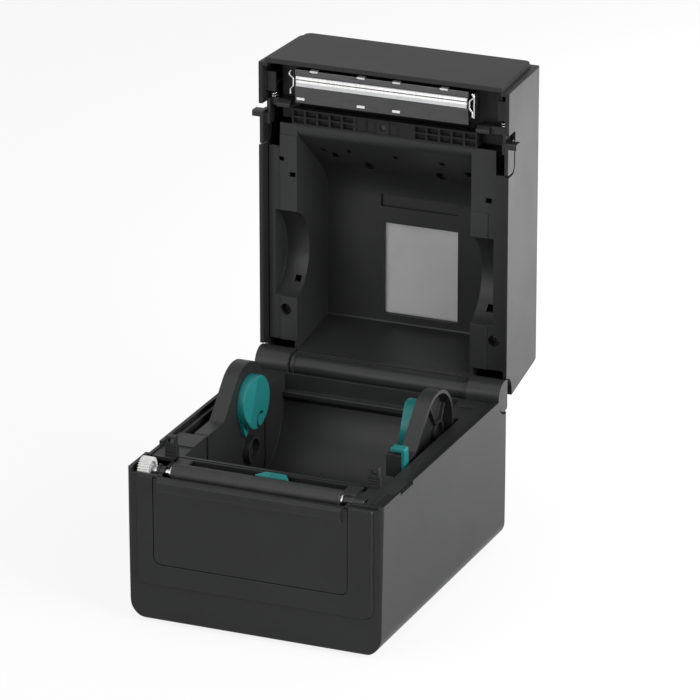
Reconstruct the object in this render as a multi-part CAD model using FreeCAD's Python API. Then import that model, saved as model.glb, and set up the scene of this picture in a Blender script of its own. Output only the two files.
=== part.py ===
import FreeCAD
import Part
import math
import os

# Desktop direct-thermal label and receipt printer, stood open for loading a roll.
# Millimetres. X runs across, Y from front to back and Z up.
# Base pieces are drawn with Y = 0 on the body's front plane and Z = 0 on the table.
# Lid pieces are drawn in the lid's own frame: x across, y up from the joint between
# lid and base, z forward from the hinge axis. The lid stands open at a right angle,
# so its pieces only have to be moved to the hinge axis.

V = FreeCAD.Vector

# Body
BODY_WIDTH = 169.4
BODY_DEPTH = 206.0
RIM_HEIGHT = 101.3
FOOT_HEIGHT = 2.5
SIDE_DRAFT = 1.2
WALL = 2.4
BOTTOM_RADIUS = 13.0
REAR_BOTTOM_RADIUS = 8.0
REAR_CORNER_RADIUS = 5.0
FRONT_CORNER_RADIUS = 2.6

# Hinge
HINGE_INSET = 4.5
HINGE_SETBACK = BODY_DEPTH - HINGE_INSET
HINGE_HEIGHT = RIM_HEIGHT
BARREL_RADIUS = 10.3
BARREL_INNER_X = 61.2
BARREL_END_GAP = 0.8
BARREL_CLEARANCE = 0.9
HINGE_WELL_RADIUS = 11.8
HINGE_BAR_RADIUS = 7.0
HINGE_BAR_GAP = 0.6
HINGE_COLLAR_RADIUS = 8.2
HINGE_COLLAR_WIDTH = 2.4
HINGE_PIN_RADIUS = 2.5
HINGE_PIN_REACH = 14.0

# Lid
LID_LENGTH = HINGE_SETBACK - 1.5
LID_HEIGHT = 63.8
LID_REAR = 4.5
LID_REAR_LEAN = 9.3
LID_TAPER = 3.0
LID_EDGE_RADIUS = 6.0
LID_REAR_RADIUS = 10.0
LID_FRONT_RADIUS = 3.0
LID_GAP = 0.5
COVER_INSET = 3.9
COVER_TAPER = 4.0
COVER_PROUD = 3.0
COVER_SOFTEN = 0.9
COVER_RADIUS = 5.0
COVER_PLUG = 3.0
COVER_PLUG_INSET = 2.2
COVER_PLUG_LOW = 14.0
COVER_PLUG_WALL = 2.0

# Running and seating clearances
RUN_FIT = 0.05
SLIDE_GAP = 0.2
SEAT_GAP = 0.3
WELD = 0.5

# Print mechanism, a little to the left of the middle
MECH_X = -2.4
PRINT_WIDTH = 111.8
MEDIA_WIDTH = 119.4
PLATEN_SETBACK = 11.0
PLATEN_HEIGHT = RIM_HEIGHT - 3.9
PLATEN_RADIUS = 6.2
PLATEN_CORE = 4.0
COLLAR_WIDTH = 1.4
JOURNAL_RADIUS = 2.0
BUSH_RADIUS = 3.4
BUSH_FLANGE = 4.6
BUSH_NOSE = 2.9
BUSH_END = 68.6
CHEEK_INNER = 61.2
CHEEK_THICK = 3.0
CHEEK_FRONT = 4.0
CHEEK_REAR = 29.0
CHEEK_TOP = PLATEN_HEIGHT + 0.4
BED_THICK = 2.0
BED_RIB = 6.0
POST_RADIUS = 4.0

# Gear train at the platen's left end
GEAR_MODULE = 0.5
PLATEN_TEETH = 30
IDLER_TEETH = 44
PINION_TEETH = 14
GEAR_LEFT = -79.4
GEAR_WIDTH = 6.8
IDLER_FORWARD = 6.0
PINION_FORWARD = 1.0
TOOTH_BACKLASH = 0.2
TOOTH_RISE = 0.92
TOOTH_DROP = 1.2
PRESSURE_ANGLE = 20.0
IDLER_PIN_RADIUS = 2.0
MOTOR_SHAFT_RADIUS = 1.5
MOTOR_SIZE = 26.5
MOTOR_LENGTH = 30.0
MOTOR_FLANGE = 7.0
MOTOR_WAIST = 0.8
SHAFT_DEPTH = 8.0

# Front panel, tear-off cover and its lip
PANEL_HALF = 78.6
PANEL_LOW = 26.4
PANEL_HIGH = RIM_HEIGHT - 2.7
PANEL_PROUD = 1.5
PANEL_SOFTEN = 0.9
PANEL_RADIUS = 6.0
PANEL_TOP_RADIUS = 1.0
INSERT_HALF = 64.2
INSERT_LOW = 41.0
INSERT_HIGH = RIM_HEIGHT - 4.3
INSERT_THICK = 1.3
INSERT_RADIUS = 4.6
INSERT_GAP = 0.45
INSERT_LEDGE = 2.8
INSERT_RIM = 1.6
LIP_HALF = 62.6
LIP_TOP = RIM_HEIGHT - 3.1
LIP_LOW = LIP_TOP - 13.2
LIP_REACH = 4.5
LIP_BACK = 1.2
LIP_END_SLOPE = 2.4

# Paper guide and movable sensor
GUIDE_FRONT = 19.2
GUIDE_REAR = 32.4
GUIDE_TOP = RIM_HEIGHT - 2.1
GUIDE_LOW = GUIDE_TOP - 7.2
GUIDE_THICK = 1.6
GUIDE_DROP = 1.0
SENSOR_X = 1.5
SENSOR_FRONT_HALF = 11.6
SENSOR_REAR_HALF = 6.6
SENSOR_FRONT = 22.9
SENSOR_REAR = 30.4
SENSOR_SLOT_HALF = 52.0
SENSOR_PROUD = 0.4
SENSOR_EYE = 2.5
SENSOR_EYE_INSET = 2.4
RAIL_RADIUS = 1.5
RAIL_DROP = 5.4
CARRIAGE_HALF = 8.0
CARRIAGE_DEEP = 3.0

# Roll holders, hubs, racks and pinion
ROLL_INSET = 74.5
ROLL_SETBACK = BODY_DEPTH - ROLL_INSET
ROLL_HEIGHT = RIM_HEIGHT - 0.3
ARCH_RADIUS = 25.4
HOLDER_TOP = RIM_HEIGHT - 1.7
HOLDER_LOW = 46.0
HOLDER_FRONT = {-1: ROLL_SETBACK - 60.7, 1: ROLL_SETBACK - 49.1}
HOLDER_PLATE = 3.0
HOLDER_DEPTH = 9.8
HOLDER_RIM = 2.2
HOLDER_RING = (8.0, 5.8)
RING_BACK = 12.0
RING_DROP = 6.0
RING_DEPTH = 5.6
RIB_ANGLES = (-30, 35, 125, 205)
RIB_HALF = 0.8
HUB_BOSS_DROP = 32.4
HUB_BOSS_RADIUS = 9.0
HUB_BOSS_REACH = 4.6
HUB_BOSS_WALL = 2.0
HUB_RADIUS = 17.5
HUB_THICK = {-1: 7.4, 1: 11.6}
HUB_CHAMFER = 0.8
HUB_FACET_START = 8.0
HUB_FACET_DEPTH = 3.2
HUB_FACET_TURN = 24.0
HUB_AXLE = 6.0
HUB_TAIL = 22.8
HUB_TAIL_THICK = 2.4
HUB_SLOT = (5.8, 3.8)
HUB_SLOT_DROP = 12.4
HUB_SLOT_BACK = 2.5
HOLDER_TRAVEL = 46.0
RACK_MODULE = 1.0
CENTRE_TEETH = 16
CENTRE_PIN_RADIUS = 2.5
CENTRE_SETBACK = ROLL_SETBACK + 8.5
RACK_LOW = 29.2
RACK_HEIGHT = 4.2
RACK_DEPTH = 4.0
LEG_WIDTH = 8.0
LEG_GAP = 0.6
RACK_OVERRUN = 12.0
RACK_PLATE_LOW = 26.6
RACK_PLATE_THICK = 2.2
RACK_PLATE_HALF = 62.0
RACK_PLATE_REACH = 18.0
PLATE_POST_X = 40.0
PLATE_POST_RADIUS = 3.4

# Roll trough
BAY_HALF = 60.2
BAY_FRONT = 36.0
BAY_REAR = BODY_DEPTH - 15.0
BAY_FLOOR = 38.0
BAY_SIDE_FLOOR = 40.0
BAY_SIDE_REAR = ROLL_SETBACK + 28.5
BAY_SIDE_FRONT = {-1: HOLDER_FRONT[-1] - 1.4, 1: BAY_FRONT + 6.0}
BAY_SIDE_EDGE = {-1: 5.7 - BODY_WIDTH / 2, 1: BODY_WIDTH / 2 - 14.9}
BAY_SIDE_RADIUS = 10.0
BAY_FRONT_RADIUS = 24.0
BAY_REAR_UPRIGHT = 11.3
BAY_REAR_RADIUS = RIM_HEIGHT - BAY_FLOOR - BAY_REAR_UPRIGHT
TRAY_WALL = 2.2
FLANGE_LOW = RIM_HEIGHT - 4.7
FLANGE_THICK = 2.2
FLANGE_TOP = FLANGE_LOW + FLANGE_THICK
FLANGE_INSET = 3.3
FLANGE_HALF = BODY_WIDTH / 2 - FLANGE_INSET
FLANGE_FRONT = 29.5
FLANGE_RADIUS = 3.0
SHELF_SHARE = 0.5988
CORNER_FRONT = 4.0
CORNER_RIB = 1.6
TROUGH_LEDGE = 4.5
TROUGH_LEDGE_DROP = 13.3
TROUGH_LEDGE_HIGH = 8.0
FRONT_RECESS = (20.0, 52.0)
FRONT_RECESS_DROP = 11.3
FRONT_RECESS_HIGH = 10.0
DECK_PAD = (61.0, 72.4)
DECK_PAD_INSET = 29.0
DECK_PAD_DEPTH = 5.0
DECK_PAD_HIGH = 1.2

# Holder lock on the right holder's foot
LOCK_BLOCK_LEFT = 55.8
LOCK_BLOCK_WIDTH = 9.4
LOCK_BLOCK_DEPTH = 8.6
LOCK_BLOCK_TOP = RIM_HEIGHT + 3.2
LOCK_BLOCK_LOW = RIM_HEIGHT - 11.0
LOCK_THICK = 2.2
LOCK_TAB = 9.6
LOCK_LOW = RIM_HEIGHT - 15.3
LOCK_TOP = RIM_HEIGHT + 7.2

# Lengths along the lid are taken back from the line where the head meets the platen
PRINT_LINE = HINGE_SETBACK - PLATEN_SETBACK

# Latch catches and release levers
LATCH_HALF_SPACING = 67.6
HOOK_HALF = 4.5
HOOK_REAR = PRINT_LINE - 20.5
HOOK_FRONT = HOOK_REAR + 4.8
HOOK_LOW = 5.0
HOOK_HIGH = 12.8
LATCH_GAP = 0.9
CATCH_HALF = 3.3
CATCH_FRONT = HINGE_SETBACK - HOOK_REAR + LATCH_GAP
CATCH_DEPTH = 3.6
CATCH_TOP = RIM_HEIGHT + 10.6
CATCH_LOOP = 5.8
CATCH_BAR = 1.4
BRACKET_HALF = 4.0
BRACKET_GROOVES = 3
BRACKET_GROOVE = 0.8
LEVER_TRAVEL = 4.0
LEVER_ARM_LOW = 8.0
LEVER_RAIL = 2.2
LEVER_RAIL_OUT = 81.0
LEVER_RAIL_REAR = PRINT_LINE - 32.0
LEVER_BRIDGE = 7.0
BRIDGE_LOW = 4.0
BRIDGE_HIGH = 10.0
TAB_REAR = PRINT_LINE - 44.5
TAB_FRONT = PRINT_LINE - 27.5
TAB_HIGH = 11.0
TAB_RADIUS = 4.5
TAB_GAP = 1.2
TAB_INSET = 0.5
LIP_FRONT = PRINT_LINE - 23.3
LEVER_LIP_REACH = 4.8
LEVER_LIP_HIGH = 8.0
SPRING_LENGTH = 9.0
SPRING_SEAT_X = 78.2
SPRING_SEAT_Y = 10.4
SPRING_SEAT_THICK = 2.0
SPRING_COVER = 2.2
SPRING_COVER_LENGTH = 13.0
LEVER_SPRING_RADIUS = 2.2
LEVER_WIRE = 0.4
LEVER_SPRING_TURNS = 5

# Print head and its carrier
STRIP_GAP = 0.3
STRIP_REAR = PRINT_LINE - 4.3
STRIP_FRONT = PRINT_LINE + 2.3
STRIP_THICK = 2.2
HEAD_HALF = 58.6
HEAD_REAR = PRINT_LINE - 15.9
HEAD_FRONT = PRINT_LINE + 6.4
PLATE_RISE = 0.8
PLATE_THICK = 1.2
HEATSINK_HIGH = 13.0
CHANNEL_DEPTH = 3.0
FRONT_TABS = (-46.0, -14.0, 10.0, 42.0)
REAR_TABS = (-55.0, -14.0, 10.0)
TAB_HALF = 2.6
TAB_DEPTH = 1.8
CLIP_WIRE = 0.55
HEAD_TRAVEL = 1.2
HEAD_SPRING_X = 30.0
HEAD_SPRING_RADIUS = 2.2
HEAD_SPRING_TURNS = 4
HEAD_WIRE = 0.4
HEAD_PIN = 4.6
BAR_REAR = PRINT_LINE - 31.1
BAR_FRONT = PRINT_LINE - 20.9
BAR_LOW = 6.5
BAR_HIGH = 13.0
BAR_CELLS = 5
BAR_CELL_PITCH = 8.4
BAR_CELL_HALF = 3.6
BAR_RIB = 1.0
BAR_MIDDLE = (-15.0, -7.6, 7.6)
RECEIVER_RADIUS = 2.0
CARRIER_LEFT = -64.5
CARRIER_RIGHT = 61.0
CARRIER_HIGH = 20.0
CARRIER_BACK = 2.0
CARRIER_WALL = 3.0
CARRIER_POSTS = [(x, back) for x in (-50.0, 16.0) for back in (24.5, 0.5)]
WING_EDGE = 74.6
WING_LOW = 15.2
WING_THICK = 2.0

# Lid liner and window
CEILING_DROP = 6.8
CEILING = LID_HEIGHT - CEILING_DROP
LINER_WALL = 2.0
LINER_HALF = 59.3
LINER_REAR = 8.0
LINER_REAR_SLOPE = 7.0
LINER_FRONT = BAR_REAR - 0.5
LINER_SLOPE = 46.9
SLOPE_FOOT = 1.0
LINER_FLANGE_LOW = 8.0
LINER_FLANGE_THICK = 2.0
LINER_FLANGE_INSET = 3.5
LINER_FLANGE_HALF = BODY_WIDTH / 2 - LINER_FLANGE_INSET
LINER_FLANGE_REAR = 13.0
LINER_TONGUE_LOW = 3.0
LINER_SLOPE_RADIUS = 28.0
LINER_REAR_CREASE = 1.5
LINER_EDGE_RADIUS = 8.0
LINER_POST_RADIUS = 3.0
LINER_POST_X = 45.0
LINER_POST_FORWARD = (30.0, 78.0)
LINER_POSTS = [(x, z) for x in (-LINER_POST_X, LINER_POST_X) for z in LINER_POST_FORWARD]
LINER_PAD = 11.6
LINER_PAD_THICK = 0.8
PAD_FRONT = {-1: LINER_FRONT - LINER_EDGE_RADIUS, 1: HINGE_SETBACK - HOLDER_FRONT[1] - 2}
SCOOP_HALF = 74.6
SCOOP_RADIUS = 31.3
SCOOP_DROP = 4.0
SCOOP_FORWARD = HINGE_SETBACK - ROLL_SETBACK + 1.5
LEVER_ROOM_X = 73.4
WINDOW_X = 3.0
WINDOW_HALF = 25.6
WINDOW_REAR = 21.0
WINDOW_INSET = 75.9
WINDOW_FRONT = LINER_FRONT - WINDOW_INSET
WINDOW_BORDER = 2.0
WINDOW_FRAME = 1.6
WINDOW_FRAME_HIGH = 3.0
WINDOW_PANE_SINK = 0.3
GROOVE_START = 10.8
GROOVE_LENGTH = 8.4
GROOVE_DEPTH = 2.0

# Openings in the liner: across, back from its front edge, half width and half length
FLANGE_HOLES = [(-72.2, 23.9, 1.8, 1.4), (-64.7, 33.7, 2.2, 1.6), (68.6, 33.4, 2.1, 1.7)]
SCOOP_HOLES = [(-66.4, 20.5, 2.2, 1.8), (66.4, 21.5, 2.3, 2.0)]
SLOPE_SLOTS = [(-51.7, 21.3, 1.6, 1.6), (-46.0, 26.0, 2.6, 2.4), (-33.1, 19.3, 1.6, 1.6),
               (-1.4, 19.4, 1.6, 1.6),
               (30.5, 19.3, 1.6, 1.6), (45.3, 27.5, 2.8, 2.4), (51.8, 24.1, 1.6, 2.2)]
SLOPE_HOLES = [(-26.1, 33.0), (23.8, 34.0)]
SLOPE_CUP_DROP = 8.6
SLOPE_CUP_HIGH = CEILING - SLOPE_CUP_DROP
LID_SCREWS = [(-69.5, 33.7), (72.8, 32.4)]
SCREW_CUP_BORE = 3.8
SCREW_CUP_WALL = 1.6
SCREW_CUP_RADIUS = SCREW_CUP_BORE + SCREW_CUP_WALL
SCREW_CUP_DEPTH = 5.0
LID_SCREW_POST = 3.0
LID_SCREW_LENGTH = 10.0

# Lid controls
BUTTON_X = 54.0
LIGHT_X = 36.0
CONTROL_FORWARD = LID_LENGTH - 16.0
BUTTON_RADIUS = 7.0
BUTTON_FLANGE = 1.4
BUTTON_FLANGE_THICK = 2.0
BUTTON_STEM = 2.0
BUTTON_DISH = 30.0
BUTTON_DISH_DEPTH = 0.5
LIGHT_RADIUS = 2.0
LIGHT_PROUD = 0.2
BUTTON_TRAVEL = 1.0
BUTTON_PROUD = 0.9
PANEL_BOARD_DROP = 9.8
PANEL_BOARD_HIGH = LID_HEIGHT - PANEL_BOARD_DROP
PANEL_BOARD_MARGIN = 9.0
PANEL_BOARD_REACH = 11.0
CONTROL_BOSSES = [(BUTTON_X - 10.0, CONTROL_FORWARD - 9.0), (LIGHT_X - 4.0, CONTROL_FORWARD + 8.0)]
CONTROL_BOSS_RADIUS = 2.5

# Board, ports and power switch at the back
BOARD_TOP = 15.6
BOARD_THICK = 1.6
BOARD_HALF = 60.0
BOARD_REAR = BODY_DEPTH - 10.0
BOARD_LENGTH = 136.0
BOARD_FRONT = BOARD_REAR - BOARD_LENGTH
BOARD_RADIUS = 2.0
CAPACITOR_X = (-30.0, -16.0, -2.0)
CAPACITOR_RADIUS = 5.0
CAPACITOR_HIGH = 9.5
CHIP_X = 24.0
CHIP_SIZE = 20.0
CHIP_HIGH = 2.4
HEADER_X = 50.0
HEADER_SIZE = (20.0, 8.0, 7.0)
BOARD_ROW = 24.0
INLET_X = 34.0
INLET_Z = BOARD_TOP + 6.0
INLET_HOLE = 5.0
INLET_SOCKET = 2.8
INLET_PIN = 1.05
INLET_DEPTH = 11.0
USB_X = 8.0
USB_HALF = 6.0
USB_HEIGHT = 10.9
USB_MOUTH = (4.2, 3.9)
USB_TONGUE = (2.8, 1.6)
USB_DEPTH = 9.0
SWITCH_X = -52.0
SWITCH_Z = 30.0
HOUSING_HALF = 7.4
HOUSING_HEIGHT = 10.6
HOUSING_DEPTH = 16.0
HOUSING_BEZEL = 1.0
ROCKER_HALF = 5.6
ROCKER_HEIGHT = 8.6
ROCKER_TIP = 14.0
ROCKER_PIVOT = 1.5
ROCKER_PIVOT_DEPTH = 4.0
ROCKER_FACE = 5.0

# Feet, posts, screws, rim notches and vents of the case
FOOT_PLACES = [(x, y) for x in (-62.0, 62.0) for y in (24.0, BODY_DEPTH - 22.0)]
FOOT_RADIUS = 8.0
FOOT_DRAFT = 1.0
FRAME_POSTS = [(x, 23.0) for x in (-50.0, 50.0)]
TRAY_POSTS = [(x, BODY_DEPTH - 10.8) for x in (-66.0, 66.0)]
TRAY_POST_RADIUS = 3.2
BOARD_POST_X = BOARD_HALF - 6.0
BOARD_POST_BACK = (BOARD_LENGTH - 10.0, 28.0)
BOARD_POSTS = [(x, BOARD_REAR - back) for x in (-BOARD_POST_X, BOARD_POST_X) for back in BOARD_POST_BACK]
BOARD_POST_RADIUS = 3.2
CASE_SCREW_HEAD = 2.8
CASE_SCREW_HIGH = 1.6
CASE_SCREW_SINK = 1.2
CASE_SCREW_SHANK = 1.5
CASE_SCREW_LENGTH = 14.0
LEDGE_PLACES = [(44.0, 60.0), (BODY_DEPTH - 38.0, BODY_DEPTH - 22.0)]
LEDGE_DEPTH = 4.0
LEDGE_DROP = 6.0
NOTCH_FRONT = 27.5
NOTCH_REAR = 47.5
NOTCH_DEPTH = 2.2
FRONT_CORNER_POST = 3.2
VENT_ROWS = 9
VENT_PITCH = 7.0
VENT_WIDTH = 3.0
VENT_HALF = 30.0
VENT_FRONT = 92.0

# Values worked out from the driving ones
HALF = BODY_WIDTH / 2
BODY_FLOOR = FOOT_HEIGHT + WALL
STRIP_LOW = PLATEN_HEIGHT + PLATEN_RADIUS + STRIP_GAP - HINGE_HEIGHT
PLATE_LOW = STRIP_LOW + PLATE_RISE
PLATE_HIGH = STRIP_LOW + STRIP_THICK
HEAD_MIDDLE = (HEAD_REAR + HEAD_FRONT) / 2
BAR_CENTRE = (BAR_REAR + BAR_FRONT) / 2
HOLDER_FACE = MEDIA_WIDTH / 2
ARCH_TOP = ROLL_HEIGHT + ARCH_RADIUS
ARCH_REAR = ROLL_SETBACK + ARCH_RADIUS
SLOPE_START = ROLL_SETBACK - ARCH_RADIUS * math.sqrt(2) + HOLDER_TOP - ROLL_HEIGHT
SLOPE_END = SLOPE_START + ARCH_TOP - HOLDER_TOP
RACK_PITCH_RADIUS = RACK_MODULE * CENTRE_TEETH / 2
RAIL_SETBACK = (SENSOR_FRONT + SENSOR_REAR) / 2
RAIL_HEIGHT = GUIDE_TOP - RAIL_DROP
CARRIAGE_TOP = GUIDE_TOP - GUIDE_THICK - LATCH_GAP
GEAR_RIGHT = GEAR_LEFT + GEAR_WIDTH
CHEEK_LEFT = MECH_X - CHEEK_INNER - CHEEK_THICK
CHEEK_RIGHT = MECH_X + CHEEK_INNER + CHEEK_THICK
IDLER_SPACING = GEAR_MODULE * (PLATEN_TEETH + IDLER_TEETH) / 2
PINION_SPACING = GEAR_MODULE * (IDLER_TEETH + PINION_TEETH) / 2
IDLER_SETBACK = PLATEN_SETBACK + IDLER_FORWARD
IDLER_HEIGHT = PLATEN_HEIGHT - math.sqrt(IDLER_SPACING ** 2 - IDLER_FORWARD ** 2)
MOTOR_SETBACK = IDLER_SETBACK + PINION_FORWARD
MOTOR_HEIGHT = IDLER_HEIGHT - math.sqrt(PINION_SPACING ** 2 - PINION_FORWARD ** 2)
BED_HEIGHT = MOTOR_HEIGHT - MOTOR_SIZE / 2 - SLIDE_GAP - BED_THICK
CASE_SCREW_SEAT = FOOT_HEIGHT + CASE_SCREW_SINK
CASE_SCREW_TIP = CASE_SCREW_SEAT + CASE_SCREW_LENGTH
PIVOT_SETBACK = BODY_DEPTH - ROCKER_PIVOT_DEPTH
ORIGIN_SHIFT = -(HINGE_SETBACK + LID_HEIGHT + BUTTON_PROUD - LIP_REACH) / 2
LID_PLACE = V(0, HINGE_SETBACK, HINGE_HEIGHT)


# Shape helpers

def corner_edges(points, closed=True):
    """Straight edges and tangent arcs through (a, b) or (a, b, radius) corners."""
    corners = [V(p[0], p[1], 0) for p in points]
    radii = [p[2] if len(p) > 2 else 0 for p in points]
    count = len(points)
    entries = []
    for i, corner in enumerate(corners):
        if radii[i] <= 0:
            entries.append((corner, None, corner))
            continue
        back = (corners[i - 1] - corner).normalize()
        ahead = (corners[(i + 1) % count] - corner).normalize()
        half = back.getAngle(ahead) / 2
        reach = radii[i] / math.tan(half)
        middle = (back + ahead).normalize()
        mid = corner + middle * (radii[i] / math.sin(half) - radii[i])
        entries.append((corner + back * reach, mid, corner + ahead * reach))
    edges = []
    for i, (start, mid, end) in enumerate(entries):
        if mid is not None:
            edges.append(Part.Arc(start, mid, end).toShape())
        if i + 1 == count and not closed:
            break
        following = entries[(i + 1) % count][0]
        if end.distanceToPoint(following) > 1e-6:
            edges.append(Part.makeLine(end, following))
    return edges


TURN = {
    "x": FreeCAD.Rotation(V(0, 1, 0), V(0, 0, 1), V(1, 0, 0), "ZXY"),
    "y": FreeCAD.Rotation(V(1, 0, 0), V(0, 0, 1), V(0, -1, 0), "ZXY"),
    "z": FreeCAD.Rotation(),
}
ALONG = {"x": V(1, 0, 0), "y": V(0, 1, 0), "z": V(0, 0, 1)}


def outline(points, axis, level):
    """Closed wire across an axis: (y, z) on x, (x, z) on y and (x, y) on z."""
    wire = Part.Wire(Part.__sortEdges__(corner_edges(points)))
    wire.Placement = FreeCAD.Placement(ALONG[axis] * level, TURN[axis])
    return wire


def prism(points, axis, low, high):
    """Solid of an outline drawn across an axis, from low to high along it."""
    return Part.Face(outline(points, axis, low)).extrude(ALONG[axis] * (high - low))


def taper(points_low, low, points_high, high, axis):
    """Solid between two outlines of the same kind."""
    return Part.makeLoft([outline(points_low, axis, low), outline(points_high, axis, high)], True, True)


def box(x0, x1, y0, y1, z0, z1):
    """Block between two corners."""
    return Part.makeBox(x1 - x0, y1 - y0, z1 - z0, V(x0, y0, z0))


def rod(axis, radius, low, high, a, b):
    """Cylinder along an axis through (a, b), in the order outline uses."""
    start = {"x": V(low, a, b), "y": V(a, low, b), "z": V(a, b, low)}[axis]
    return Part.makeCylinder(radius, high - low, start, ALONG[axis])


def ring(axis, outer, inner, low, high, a, b):
    """Tube along an axis."""
    return rod(axis, outer, low, high, a, b).cut(rod(axis, inner, low - 1, high + 1, a, b))


def rectangle(x0, x1, y0, y1, radius):
    """Corners of a rounded rectangle."""
    return [(x0, y0, radius), (x1, y0, radius), (x1, y1, radius), (x0, y1, radius)]


def join(*shapes):
    """One solid from touching or overlapping ones."""
    return shapes[0].multiFuse(list(shapes[1:])).removeSplitter()


def cut(shape, *tools):
    """Shape with the tools taken away."""
    return shape.cut(list(tools))


def group(*solids):
    """Separate solids kept in one piece's file."""
    return Part.makeCompound(list(solids))


def both(function):
    """The left and the right form of a piece made by a function of the side."""
    return [function(-1), function(1)]


def span(a, b):
    """Two numbers in rising order."""
    return (min(a, b), max(a, b))


def gear_points(teeth, module, phase):
    """Corners of a spur gear with straight flanks about the origin, one tooth at the phase angle."""
    pitch = module * teeth / 2
    tip = pitch + TOOTH_RISE * module
    root = pitch - TOOTH_DROP * module
    half = (math.pi * module - TOOTH_BACKLASH) / (4 * pitch)
    slope = math.tan(math.radians(PRESSURE_ANGLE))
    points = []
    for i in range(teeth):
        middle = phase + 2 * math.pi * i / teeth
        for radius, side in ((root, -1), (tip, -1), (tip, 1), (root, 1)):
            angle = middle + side * (half - slope * (radius - pitch) / radius)
            points.append((radius * math.cos(angle), radius * math.sin(angle)))
    return points


def gear(axis, teeth, module, phase, low, high, a, b, bore):
    """Spur gear along an axis through (a, b), with a round bore."""
    points = [(a + p, b + q) for p, q in gear_points(teeth, module, phase)]
    return cut(prism(points, axis, low, high), rod(axis, bore, low - 1, high + 1, a, b))


def mesh_phase(direction, teeth, phase, next_teeth):
    """Phase of the next gear, so that its gap takes the tooth nearest the line of centres."""
    step = 2 * math.pi / teeth
    offset = (phase - direction + step / 2) % step - step / 2
    return direction + math.pi - offset * teeth / next_teeth + math.pi / next_teeth


def rack_points(first, last, pitch_line, way):
    """Corners of a straight rack with its teeth pointing along +Y or -Y."""
    step = math.pi * RACK_MODULE
    lean = math.tan(math.radians(PRESSURE_ANGLE)) * RACK_MODULE
    half = step / 4 - TOOTH_BACKLASH
    root = pitch_line - way * TOOTH_DROP * RACK_MODULE
    tip = pitch_line + way * TOOTH_RISE * RACK_MODULE
    back = root - way * RACK_DEPTH
    points = [(first, back), (first, root)]
    count = int((last - first) / step) - 1
    start = MECH_X + step / 2 + step * math.ceil((first - MECH_X) / step)
    for i in range(count):
        middle = start + step * i
        points.append((middle - half - TOOTH_DROP * lean, root))
        points.append((middle - half + TOOTH_RISE * lean, tip))
        points.append((middle + half - TOOTH_RISE * lean, tip))
        points.append((middle + half + TOOTH_DROP * lean, root))
    points += [(last, root), (last, back)]
    return points


def coil(radius, wire, turns, length, place, direction):
    """Coil spring with round wire, standing at a place and pointing along a direction."""
    helix = Part.makeHelix(length / turns, length, radius)
    section = Part.Wire(Part.makeCircle(wire, V(radius, 0, 0), V(0, 1, 0)))
    spring = Part.Wire(helix).makePipeShell([section], True, True)
    spring.Placement = FreeCAD.Placement(place, FreeCAD.Rotation(V(0, 0, 1), direction))
    return spring


def bent_wire(points, wire, level):
    """Round wire bent in the x-z plane at one y."""
    path = Part.Wire(Part.__sortEdges__(corner_edges(points, closed=False)))
    path.Placement = FreeCAD.Placement(V(0, level, 0), TURN["y"])
    start = path.OrderedVertexes[0].Point
    heading = path.OrderedVertexes[1].Point - start
    section = Part.Wire(Part.makeCircle(wire, start, heading))
    return path.makePipeShell([section], True, True)


def screw(axis, a, b, head_low, head_high, tip):
    """Pan-head screw; the tip may lie on either side of the head."""
    head = rod(axis, CASE_SCREW_HEAD, head_low, head_high, a, b)
    low, high = span(head_low if tip < head_low else head_high, tip)
    return join(head, rod(axis, CASE_SCREW_SHANK, low, high, a, b))


# Base, outside

def body_block(inset, top):
    """The lower case's outer form, or its hollow when inset by the wall."""
    half_top = HALF - inset
    half_low = HALF - SIDE_DRAFT - inset
    floor = FOOT_HEIGHT + inset
    rear = BODY_DEPTH - inset
    round_low = BOTTOM_RADIUS - inset
    round_front = FRONT_CORNER_RADIUS - inset
    section = prism([(-half_top, top), (-half_low, floor, round_low),
                     (half_low, floor, round_low), (half_top, top)], "y", inset, rear)
    side = prism([(inset, floor, round_front), (rear, floor, REAR_BOTTOM_RADIUS - inset),
                  (rear, top), (inset, top)], "x", -HALF, HALF)
    plan = prism([(-half_top, inset, round_front), (half_top, inset, round_front),
                  (half_top, rear, REAR_CORNER_RADIUS - inset),
                  (-half_top, rear, REAR_CORNER_RADIUS - inset)], "z", floor, top)
    return section.common(side).common(plan)


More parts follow.
